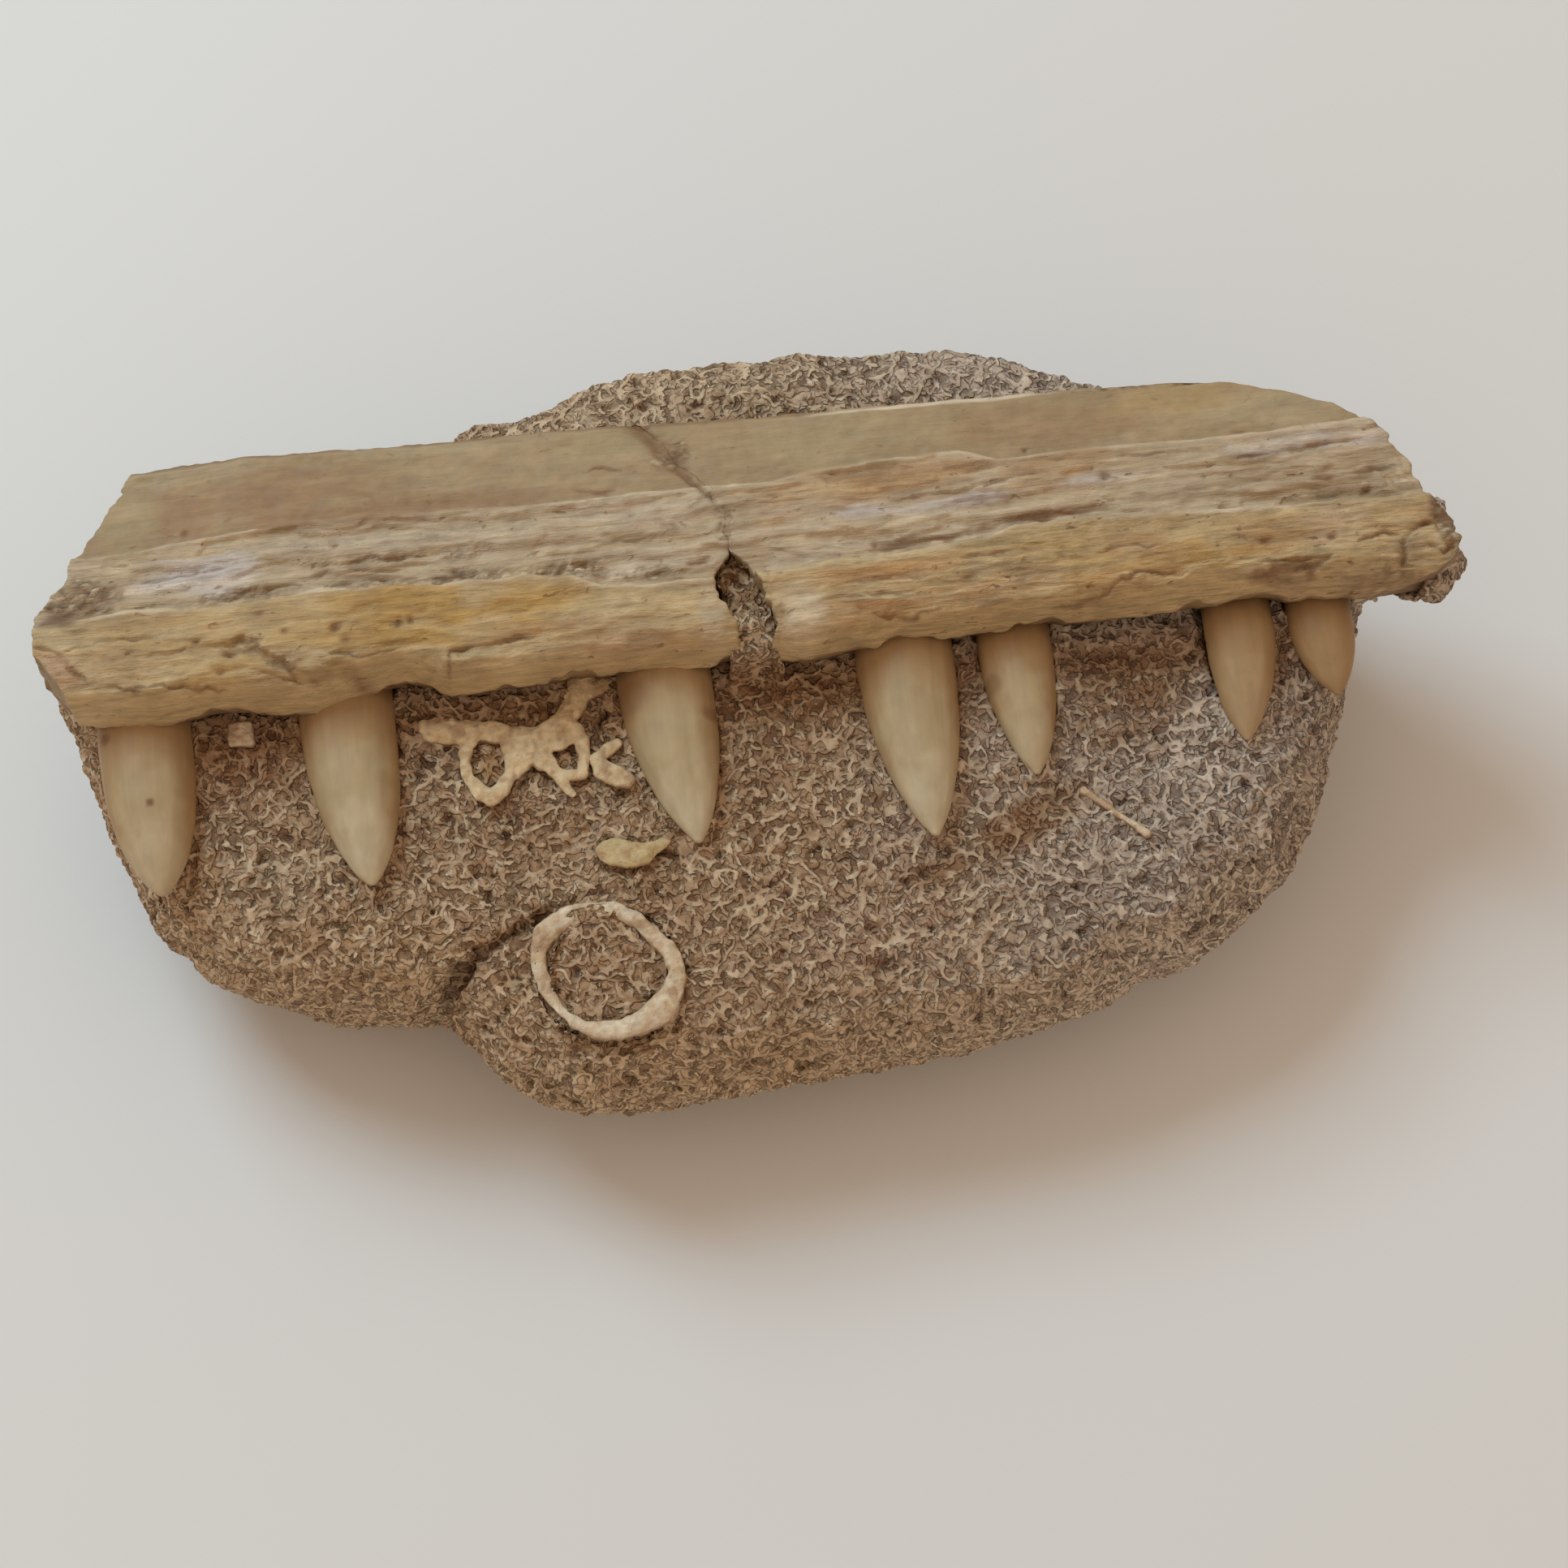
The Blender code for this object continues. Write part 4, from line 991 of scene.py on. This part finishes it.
def patch_share(x, y, patch, low, high, uneven):
    """How strongly a patch shows at each point, fading out between two multiples of its size."""
    cx, cy, half_long, half_wide, slope, strength = patch
    reach = np.hypot((x - cx) / half_long, (y - cy - slope * (x - cx)) / half_wide) + uneven
    return strength * fading(reach, low, high)


def grain_share(x, y):
    """Where the bone's surface is crumbled into grains, from 0 to 1."""
    patches = [(*patch, 0.0, strength) for *patch, strength in CRUMBLED]
    return np.max([patch_share(x, y, patch, 0.5, 1.1, 0.0) for patch in patches], axis=0)


def bone_marks(x, y):
    """Depth and darkness of the cracks, the pits and the break."""
    points = in_plan(x, y)
    shift_x = 0.35 * waves(points, 1.5, 54) + 0.15 * waves(points, 0.6, 55)
    shift_y = 0.22 * waves(points, 1.2, 56) + 0.12 * waves(points, 0.5, 57)
    uneven = waves(points, 2.0, 58)
    gap = np.abs(x + 0.6 * shift_x - along(BREAK_LEFT, y) - 0.25)
    cut = bell(gap, 0.3 + 0.9 * eased(y, 22.5, 26.0) * (1.0 + 0.5 * uneven))
    cuts = [(cut * (0.3 * eased(y, 13.0, 15.0) + 0.7 * eased(y, 19.5, 21.5)), 0.55, 0.75)]
    for width, depth, line in CRACKS:
        gap, share = beside_line(x + shift_x, y + shift_y, line)
        taper = np.sqrt(np.clip(5.0 * np.minimum(share, 1.0 - share), 0.0, 1.0)) * (0.75 + 0.45 * uneven)
        cut = bell(gap, width * np.maximum(taper, 0.2)) * np.clip(taper, 0.0, 1.0)
        cuts.append((cut, depth, min(0.9, 2.8 * depth)))
    for cx, cy, radius, depth in PITS:
        gap = np.hypot(x + 0.7 * shift_x - cx, (y + 0.9 * shift_y - cy) * 1.4)
        cuts.append((bell(gap, radius), depth, 0.75))
    deepest = np.max([depth * cut for cut, depth, dark in cuts], axis=0)
    return deepest, np.max([dark * cut for cut, depth, dark in cuts], axis=0)


def paint_of_bone(x, y):
    """The bone's colour at each point of its upper side, with painted highlights along its steps."""
    bend = bent(x, y)
    rim = y - along(RIDGE_RIM, x)
    lamina = y - along(LAMINA_LINE, x)
    wander = long_waves(bend, 9.0, 2.0, 40)
    small = long_waves(bend, 2.6, 0.8, 43)
    colour = tinted(linear("ridge"), "middle", eased(rim + 0.6 * wander, -0.3, 0.5))
    colour = tinted(colour, "lamina", eased(lamina + 0.3 * wander, -0.1, 0.5))
    for *patch, name in BONE_PATCHES:
        share = patch_share(x, y, patch, 0.45, 1.25, 0.35 * wander + 0.22 * small)
        colour = tinted(colour, name, share)
    band = eased(rim, -0.2, 0.4) * fading(lamina, -0.4, 0.2)
    ridge = fading(rim, -0.4, 0.1)
    blotch = long_waves(bend, 5.0, 1.7, 44)
    brown = (0.13 + 0.14 * ridge + 0.06 * band) * eased(blotch + 0.4 * small, 0.1, 0.9)
    pale = (0.1 + 0.25 * ridge + 0.1 * band) * eased(-blotch + 0.4 * small, 0.2, 0.9)
    colour = tinted(tinted(colour, "groove", brown), "cream", pale)
    # Painted highlights: pale lines along the crests just before the steps down at the rim and at the lamina
    # line.
    light = bell(rim + 0.12, 0.3) + 0.8 * bell(lamina + 0.1, 0.25)
    colour = tinted(colour, "fossil_pale", 0.5 * light * eased(wander + 0.5 * small, -0.5, 0.5))
    streak = long_waves(bend, 14.0, 0.9, 41) + 0.5 * long_waves(bend, 4.5, 0.32, 42)
    dark = (0.06 + 0.3 * band + 0.22 * ridge * eased(x, 3.0, 12.0)) * eased(-streak, 0.3, 1.1)
    colour = tinted(colour, "groove", dark)
    return tinted(colour, "fossil_pale", (0.05 + 0.32 * band + 0.06 * ridge) * eased(streak, 0.3, 1.1))


def bone_surface(x, y):
    """The height and colour of the bone's upper side at each point in plan."""
    points = in_plan(x, y)
    bend = bent(x, y)
    ragged = waves(points, 3.2, 5) * 0.25 + waves(points, 1.1, 6) * 0.14
    edge = y - along(TOOTH_EDGE, x)
    rim = y - along(RIDGE_RIM, x) + ragged
    lamina = y - along(LAMINA_LINE, x) + 0.6 * ragged
    back = along(BACK_EDGE, x) - y
    height = EDGE_Z + CROWN_RISE * (1.0 - np.exp(-np.maximum(edge, 0.0) / CROWN_REACH))
    height += 0.3 * long_waves(points, 24.0, 7.0, 1)
    height -= RIM_STEP * eased(rim, 0.0, RIM_WIDTH) + LAMINA_STEP * eased(lamina, 0.0, LAMINA_WIDTH)
    height -= LAMINA_FALL * eased(lamina, 0.0, 9.5) + 0.5 * fading(back + ragged, 0.0, 0.8)
    band = eased(rim, 0.0, 0.8) * fading(lamina, -0.6, 0.0)
    ridge = fading(rim, -0.5, 0.2)
    front = fading(edge, 2.0, 5.0)
    layers = terraced(long_waves(bend, 15.0, 2.0, 13) + 0.5 * long_waves(bend, 6.0, 1.0, 16), 1.6, 0.18)
    height += layers * (0.42 * band + 0.14 * ridge + 0.03)
    broken = terraced(long_waves(bend, 9.0, 1.4, 17) + 0.4 * long_waves(bend, 2.5, 0.9, 18), 2.0, 0.2)
    height += front * 0.3 * broken
    fibre = long_waves(bend, 13.0, 1.0, 11) + 0.5 * long_waves(bend, 4.0, 0.45, 12)
    height += fibre * (0.02 + 0.15 * band + (0.05 + 0.06 * eased(x, 5.0, 15.0)) * ridge)
    height += 0.07 * long_waves(points, 1.1, 0.8, 14) + 0.1 * ridge * long_waves(bend, 2.2, 1.1, 20)
    height += 0.16 * front * long_waves(bend, 3.4, 0.7, 21)
    layer_gap = y - along(LAYER_LINE, x) + 1.3 * ragged
    step = along(LAYER_STEP, x)
    height += step * eased(layer_gap, 0.0, 0.3)
    cut, dark = bone_marks(x, y)
    height -= cut
    # Under the edge of the ochre layer the bone is hollowed and darkened, which is painted shadow beneath
    # the layer's edge.
    hollow = bell(layer_gap + 0.35, 0.5) * np.minimum(1.0, step * 1.7)
    height -= 0.35 * hollow
    dark = np.maximum(dark, 0.8 * hollow * (0.7 + 0.5 * waves(points, 1.2, 19)))
    crumbs = grain_share(x + 4.0 * ragged, y + 1.5 * ragged)
    near, border, number = grains(points * np.array((0.75, 1.0, 1.0)), 0.75, 45)
    height += crumbs * (0.45 * fading(near, 0.1, 0.75) - 0.3 + 0.35 * waves(points, 1.3, 15))
    colour = paint_of_bone(x, y)
    # Painted light: the ridge's front face by the tooth edge, which turns away from the light, is lightened
    # towards cream.
    colour = tinted(colour, "cream", 0.45 * fading(edge, 0.3, 2.4))
    colour = tinted(colour, "groove", np.clip(dark, 0.0, 0.9))
    # The borders between the crumbled grains are darkened: partly dirt, partly painted shade in the gaps.
    colour = tinted(colour, "dirt_and_shade_dark", 0.75 * crumbs * fading(border, 0.0, 0.3))
    colour = tinted(colour, "fossil_pale", 0.6 * crumbs * (number > 0.68) * fading(near, 0.3, 0.6))
    colour = tinted(colour, "dirt", 0.55 * crumbs * (number < 0.4))
    split = np.clip(0.1 + 0.5 * band + ridge * (0.55 + 0.3 * eased(x, 4.0, 14.0)) + 0.5 * crumbs, 0.0, 1.0)
    edge_line = bell(back, 0.35) * (1.0 - eased(x, 5.0, 12.0) * fading(x, 38.0, 44.0))
    return height, tinted(colour, "groove", 0.5 * edge_line), split


def bone_grid(left, right):
    """Plan positions of a slab's grid: rows go from the tooth edge to the back edge."""
    columns = int(round((max(right) - min(left)) / BONE_STEP))
    x = left[:, None] + (right - left)[:, None] * np.linspace(0.0, 1.0, columns + 1)
    share = np.linspace(0.0, 1.0, BONE_ROWS + 1)
    share = share - 0.045 * np.sin(2.0 * np.pi * share)
    flat = in_plan(x, 0.0 * x)
    chips = 0.2 * waves(flat, 2.6, 74) + 0.07 * waves(flat, 1.0, 75)
    front = along(TOOTH_EDGE, x) + chips + 0.25 * waves(flat, 6.0, 76)
    behind = along(BACK_EDGE, x) + 0.14 * waves(flat, 2.0, 77) + 0.07 * waves(flat, 0.7, 78)
    return x, front + share[:, None] * (behind - front)


def slab(name, x, y, top, floor):
    """A closed body from a grid in plan, cut under at its tooth side, and where its wall points start."""
    rows, columns = x.shape
    count = rows * columns
    upper = np.stack([x, y, top], axis=2).reshape(-1, 3)
    under = UNDERCUT * fading(y - y[0], 0.0, 4.0)
    lower = np.stack([x, y + under, floor], axis=2).reshape(-1, 3)
    index = np.arange(count).reshape(rows, columns)
    a, b, c, d = index[:-1, :-1], index[:-1, 1:], index[1:, 1:], index[1:, :-1]
    top_faces = np.stack([a, b, c, d], axis=2).reshape(-1, 4)
    low_faces = np.stack([a, d, c, b], axis=2).reshape(-1, 4) + count
    rim = np.concatenate([index[0, :], index[1:, -1], index[-1, -2::-1], index[-2:0:-1, 0]])
    shares = np.arange(1, WALL_LEVELS) / WALL_LEVELS
    wall_points = [upper[rim] * (1.0 - t) + lower[rim] * t for t in shares]
    between = 2 * count + np.arange(len(shares) * len(rim)).reshape(len(shares), -1)
    rings = [rim, *between, rim + count]
    walls = [
        np.stack([high, low, np.roll(low, -1), np.roll(high, -1)], axis=1)
        for high, low in zip(rings, rings[1:])
    ]
    points = np.concatenate([upper, lower, *wall_points])
    return mesh_of(name, points, top_faces, low_faces, *walls), 2 * count


def bone_half(name, left_line, right_line):
    """The bone on one side of the break, as a finished object."""
    y_row = BONE_FRONT_Y + np.linspace(0.0, 1.0, BONE_ROWS + 1) * BONE_WIDTH
    flat = in_plan(y_row * 0.0, y_row)
    ragged = 0.35 * waves(flat, 1.6, 70) + 0.18 * waves(flat, 0.6, 79)
    left = along(left_line, y_row) + ragged - (BREAK_CLOSE if left_line is BREAK_RIGHT else 0.0)
    right = along(right_line, y_row) + ragged + (BREAK_CLOSE if right_line is BREAK_LEFT else 0.0)
    x, y = bone_grid(left, right)
    top, colour, split_top = bone_surface(x.ravel(), y.ravel())
    floor = BONE_FLOOR + FLOOR_RISE * eased(y - along(LAMINA_LINE, x), -6.0, 0.0)
    mesh, wall = slab(name, x, y, top.reshape(x.shape), floor)
    places, normals = places_and_normals(mesh)
    rough = 0.18 * waves(places, 1.8, 71) + 0.08 * waves(places, 0.9, 72)
    places[wall:] += normals[wall:] * rough[wall:, None]
    set_places(mesh, places)
    side = tinted(linear("ridge"), "dirt", np.clip(0.55 + 0.5 * waves(places, 2.5, 73), 0.0, 1.0))
    # The walls darken towards their foot: painted shade under the bone's edge.
    side = tinted(side, "dirt_and_shade_dark", 0.7 * fading(places[:, 2], 28.0, 31.0))
    side[: len(colour)] = colour
    store(mesh, "paint", side)
    split = np.full(len(places), 0.8)
    split[: len(colour)] = split_top
    store(mesh, "split", split)
    return slimmed(new_object(name, mesh))


def tooth_piece(number, place, length, width, lean, fullness, brown):
    """One tooth: a bent cone with an oval section, smooth but for fine growth lines."""
    t = np.concatenate([[-TOOTH_ROOT / length], np.linspace(0.0, 1.0, TOOTH_RINGS) ** 0.9])
    turn = np.linspace(0.0, 2.0 * np.pi, TOOTH_SIDES, endpoint=False)
    grow = np.clip(t, 0.0, 1.0)
    radius = 0.5 * width * np.maximum(0.0, 1.0 - grow**fullness) ** 0.75
    radius = np.maximum(radius, 0.5 * width * 0.3 * np.sqrt(np.maximum(0.0, 1.0 - grow**6)))
    middle_x = place + lean * grow**1.3
    centre = np.stack([middle_x, BONE_FRONT_Y - length * t, TOOTH_Z - TOOTH_SINK * grow**1.6], axis=1)
    ring = np.stack([np.cos(turn), 0.0 * turn, TOOTH_DEPTH_SHARE * np.sin(turn)], axis=1)
    uneven = 1.0 + 0.018 * waves(in_plan(turn * 3.0, turn * 0.0 + number), 1.0, 80)
    points = centre[:, None, :] + radius[:, None, None] * ring[None] * uneven[None, :, None]
    points = np.concatenate([points.reshape(-1, 3), centre[:1], centre[-1:]])
    index = np.arange(len(t) * TOOTH_SIDES).reshape(-1, TOOTH_SIDES)
    after = np.roll(index, -1, axis=1)
    quads = np.stack([index[:-1], index[1:], after[1:], after[:-1]], axis=2).reshape(-1, 4)
    root, tip = len(points) - 2, len(points) - 1
    root_cap = [(root, a, b) for a, b in zip(index[0], after[0])]
    tip_cap = [(tip, b, a) for a, b in zip(index[-1], after[-1])]
    places = points + 0.05 * waves(points, 1.8, 81)[:, None]
    mesh = mesh_of(f"tooth_{number}", places, quads, root_cap, tip_cap)
    down = np.clip((BONE_FRONT_Y - points[:, 1]) / length, 0.0, 1.0)
    side = np.abs(points[:, 0] - np.interp(points[:, 1], centre[::-1, 1], centre[::-1, 0])) / (0.5 * width)
    patchy = waves(points, 3.0, 82) + 0.5 * waves(points, 1.0, 83)
    pale = eased(down + 0.15 * patchy, 0.4, 0.95) * (1.0 - 0.6 * brown)
    # The sides, and the top by the bone's edge, turn browner. This is partly stain and partly painted shade,
    # where the cone turns away from the light and under the bone's edge.
    stain = brown + 0.7 * eased(side + 0.25 * patchy, 0.45, 1.0)
    stain += 0.7 * fading(down + 0.1 * patchy, 0.05, 0.35)
    colour = tinted(tinted(linear("tooth"), "tooth_tip", pale), "tooth_brown", np.clip(stain, 0.0, 0.9))
    for tooth, cx, cy, spot, strength in TOOTH_SPOTS:
        if tooth == number:
            gap = np.hypot(points[:, 0] - cx, points[:, 1] - cy) + 0.3 * patchy
            colour = tinted(colour, "groove", strength * fading(gap, 0.4 * spot, spot))
    store(mesh, "paint", colour)
    return new_object(f"tooth_{number}", mesh)


def beads(line):
    """Balls set close together along a line of (x, y, radius)."""
    for start, end in zip(line, line[1:]):
        steps = max(1, int(math.hypot(end[0] - start[0], end[1] - start[1]) / BALL_STEP))
        for k in range(steps + 1):
            yield [a + (b - a) * (k / steps) for a, b in zip(start, end)]


def small_fossil(name, lines, height, tilt, flat, voxel, tone):
    """Bone that lies on the rock: rounded bars along lines of (x, y, radius), joined and worn."""
    mesh = bpy.data.meshes.new(name)
    with opened(mesh) as bm:
        for x, y, radius in (ball for line in lines for ball in beads(line)):
            middle = np.array((x, y, height + tilt * (y - RING_CENTRE[1])))
            for vert in bmesh.ops.create_icosphere(bm, subdivisions=2, radius=1.0)["verts"]:
                place = middle + np.array(vert.co) * np.array((radius, radius, radius * flat))
                vert.co = (place - FOOT_CENTRE) * MM
    obj = evened(new_object(name, mesh), voxel * MM)
    places, normals = places_and_normals(obj.data)
    wear = 0.17 * waves(places, 1.7, 90) + 0.15 * waves(places, 0.8, 91) - 0.03
    set_places(obj.data, places + normals * wear[:, None])
    stain = np.clip(0.25 + 0.5 * waves(places, 2.2, 92) + 0.5 * waves(places, 0.7, 93), 0.0, 1.0)
    colour = tinted(linear(tone), "fossil_stain", 0.6 * stain)
    dusty = eased(waves(places, 1.5, 94) + 0.5 * waves(places, 0.5, 96), 0.0, 0.8)
    colour = tinted(colour, "matrix", 0.75 * dusty)
    # Painted shade: sides and undersides that turn away from up are darkened where the small fossils meet
    # the rock.
    store(obj.data, "paint", tinted(colour, "matrix_dark", 0.55 * fading(normals[:, 2], 0.2, 0.85)))
    return slimmed(obj, MOST_SMALL_FACES)


def roughened(obj):
    """Gives an even solid the rock's relief and colours."""
    places, normals = places_and_normals(obj.data)
    depth, colour, quiet = rock_relief(places, normals)
    set_places(obj.data, places - normals * depth[:, None])
    store(obj.data, "paint", colour)
    store(obj.data, "quiet", quiet)
    grey = eased(places[:, 0] + 6.0 * waves(places, 9.0, 36), 0.0, 42.0)
    store(obj.data, "grey", grey * (1.0 - quiet))
    return obj


def sink_fill(obj):
    """Hollows the back of the filled hole, lowers its front, and paints them brown and pale."""
    places, normals = places_and_normals(obj.data)
    back = eased(places[:, 1], 6.0, 8.5) * eased(normals[:, 2], 0.1, 0.5)
    places[:, 2] -= FILL_HOLLOW * back * eased(places[:, 2], 30.0, 32.0)
    kept = FILL_FRONT_SHARE + (1.0 - FILL_FRONT_SHARE) * eased(places[:, 1], 1.9, 3.4)
    places[:, 2] -= (1.0 - kept) * np.maximum(places[:, 2] - FILL_FOOT, 0.0)
    set_places(obj.data, places)
    paint = obj.data.attributes["paint"].data
    colour = np.empty(len(places) * 4)
    paint.foreach_get("color", colour)
    colour = colour.reshape(-1, 4)
    colour[:, :3] = tinted(colour[:, :3], "matrix_brown", 0.75 * eased(places[:, 1], 5.5, 8.0))
    pale = eased(places[:, 1], 2.4, 3.2) * fading(places[:, 1], 5.0, 7.5)
    colour[:, :3] = tinted(colour[:, :3], "fossil_pale", 0.45 * pale)
    paint.foreach_set("color", colour.ravel())


def split_at_break(obj):
    """Parts the rock along the line of the break into a left and a right piece."""
    line = np.array(sorted((y, x) for x, y in BREAK_LINE))
    halves = []
    for name, left in (("rock_left_look", True), ("rock_right_look", False)):
        half = new_object(name, obj.data.copy())
        with opened(half.data) as bm:
            centres = from_row(np.array([face.calc_center_median() for face in bm.faces]))
            on_left = centres[:, 0] < along(line, centres[:, 1])
            drop = [face for face, here in zip(bm.faces, on_left) if here != left]
            bmesh.ops.delete(bm, geom=drop, context="FACES")
        halves.append(slimmed(half))
    bpy.data.objects.remove(obj)
    return halves


class JawSizes(bpy.types.PropertyGroup):
    """Sizes that a user may change"""

    rock_grid: bpy.props.FloatProperty(
        name="Rock grid",
        description="Spacing of the rock's surface points",
        default=0.00032,
        unit="LENGTH",
        subtype="DISTANCE",
    )


class StageLook(bpy.types.PropertyGroup):
    """Table and light"""

    table: bpy.props.FloatVectorProperty(
        name="Table", description="Colour of the pale table", subtype="COLOR", default=tuple(linear("table"))
    )
    key_power: bpy.props.FloatProperty(
        name="Key light", description="Power of the soft light", default=9.5, unit="POWER"
    )
    ambient: bpy.props.FloatProperty(
        name="Room light", description="Strength of the even light", default=0.62
    )


class BuildStage(bpy.types.Operator):
    """Sets the table, the soft light and the camera"""

    bl_idname = "fossil.build_stage"
    bl_label = "Stage"

    def execute(self, context):
        look = context.scene.fossil_stage
        bpy.ops.mesh.primitive_plane_add(size=3.0, location=(0.0, 0.0, 0.0))
        table = context.object
        table.name = "table"
        n = Nodes("Table", 0.55, 0.3)
        n.colour((*look.table, 1.0))
        table.data.materials.append(n.material)

        light = bpy.data.lights.new("key", "AREA")
        light.shape, light.size = "SQUARE", KEY_SIDE
        light.energy = look.key_power
        light.color = KEY_COLOUR
        key = bpy.data.objects.new("key", light)
        key.location = KEY_PLACE
        key.rotation_euler = (-key.location).to_track_quat("-Z", "Y").to_euler()
        context.scene.collection.objects.link(key)

        world = bpy.data.worlds.new("Room")
        world.use_nodes = True
        background = world.node_tree.nodes["Background"]
        background.inputs["Color"].default_value = ROOM_COLOUR
        background.inputs["Strength"].default_value = look.ambient
        context.scene.world = world
        context.scene.view_settings.view_transform = "Standard"

        data = bpy.data.cameras.new("photo_view")
        data.lens = CAMERA_LENS
        data.sensor_width = 36.0
        data.clip_start, data.clip_end = 0.01, 10.0
        camera = bpy.data.objects.new("photo_view", data)
        round_, above = math.radians(CAMERA_AZIMUTH), math.radians(CAMERA_ELEVATION)
        flat = math.cos(above)
        back = Vector((math.sin(round_) * flat, -math.cos(round_) * flat, math.sin(above)))
        camera.location = Vector(CAMERA_TARGET) + back * CAMERA_DISTANCE
        camera.rotation_euler = (-back).to_track_quat("-Z", "Y").to_euler()
        context.scene.collection.objects.link(camera)
        context.scene.camera = camera
        return {"FINISHED"}


class BuildRock(bpy.types.Operator):
    """Makes the two pieces of grainy rock"""

    bl_idname = "fossil.build_rock"
    bl_label = "Rock"

    def execute(self, context):
        sizes = context.scene.fossil_sizes
        grid = sizes.rock_grid * 1.0
        whole = clean_copy("rock_left")
        with opened(whole) as bm:
            bm.from_mesh(clean_copy("rock_right"))
        rock = roughened(fill_grooves(evened(new_object("rock_whole", whole), grid, ROCK_GROW)))
        for node, half in zip(("rock_left", "rock_right"), split_at_break(rock)):
            finish(half, "Phosphate rock", "rock", node)
        fill = roughened(evened(new_object("rock_fill_look", clean_copy("rock_fill")), FILL_GRID, FILL_GROW))
        sink_fill(fill)
        finish(slimmed(fill, MOST_FILL_FACES), "Phosphate rock", "rock", "rock_fill")
        return {"FINISHED"}


class BuildSmallFossils(bpy.types.Operator):
    """Makes the vertebra ring, the bone web, the scale, the spine and the chip"""

    bl_idname = "fossil.build_small_fossils"
    bl_label = "Small fossils"

    def execute(self, context):
        # Each: name, lines, height, tilt, flatness, grid, the solid that it stands for, colour
        make = (
            ("ring", [(*RING, RING[0])], RING_Z, RING_TILT, 0.62, 0.14, "vertebra_ring", "fossil_pale"),
            ("web", WEB_ARMS, WEB_Z, 0.0, WEB_FLAT, 0.12, "web_bone", "fossil"),
            ("scale", [SCALE_ARC], SCALE_Z, 0.0, 0.32, 0.12, "fish_scale", "scale"),
            ("spine", [SPINE], SPINE_Z, 0.0, 1.0, 0.1, "spine_rod", "fossil_pale"),
            ("chip", [CHIP], CHIP_Z, 0.0, 1.0, 0.12, "bone_chip", "fossil_pale"),
        )
        for name, lines, height, tilt, flat, voxel, node, tone in make:
            obj = small_fossil(name, lines, height, tilt, flat, voxel, tone)
            finish(obj, "Old bone", "scale" if name == "scale" else "pale_bone", node)
        return {"FINISHED"}


class BuildBone(bpy.types.Operator):
    """Makes the jaw bone on both sides of the break"""

    bl_idname = "fossil.build_bone"
    bl_label = "Jaw bone"

    def execute(self, context):
        left = bone_half("bone_left", BONE_LEFT_END, BREAK_LEFT)
        right = bone_half("bone_right", BREAK_RIGHT, BONE_RIGHT_END)
        finish(left, "Fossil bone", "bone", "jaw_left")
        finish(right, "Fossil bone", "bone", "jaw_right")
        return {"FINISHED"}


class BuildTeeth(bpy.types.Operator):
    """Makes the row of teeth"""

    bl_idname = "fossil.build_teeth"
    bl_label = "Teeth"

    def execute(self, context):
        for number, row in enumerate(TEETH, 1):
            finish(tooth_piece(number, *row), "Tooth enamel", "bone")
        return {"FINISHED"}


class JawPanel(bpy.types.Panel):
    """Lists the pieces and the values that change them"""

    bl_idname = "VIEW3D_PT_fossil_jaw"
    bl_label = "Fossil jaw"
    bl_space_type = "VIEW_3D"
    bl_region_type = "UI"
    bl_category = "Fossil jaw"

    def draw(self, context):
        for group in (context.scene.fossil_sizes, context.scene.fossil_stage):
            box = self.layout.box()
            for key in group.__annotations__:
                box.prop(group, key)
        for step in STEPS:
            self.layout.operator(step.bl_idname)


STEPS = (BuildStage, BuildRock, BuildBone, BuildTeeth, BuildSmallFossils)
CLASSES = (JawSizes, StageLook, *STEPS, JawPanel)


def register():
    for item in CLASSES:
        bpy.utils.register_class(item)
    bpy.types.Scene.fossil_sizes = bpy.props.PointerProperty(type=JawSizes)
    bpy.types.Scene.fossil_stage = bpy.props.PointerProperty(type=StageLook)


def unregister():
    del bpy.types.Scene.fossil_stage
    del bpy.types.Scene.fossil_sizes
    for item in reversed(CLASSES):
        bpy.utils.unregister_class(item)


def main():
    register()
    bpy.ops.fossil.build_stage()
    bpy.ops.fossil.build_rock()
    bpy.ops.fossil.build_bone()
    bpy.ops.fossil.build_teeth()
    bpy.ops.fossil.build_small_fossils()


if __name__ == "__main__":
    main()
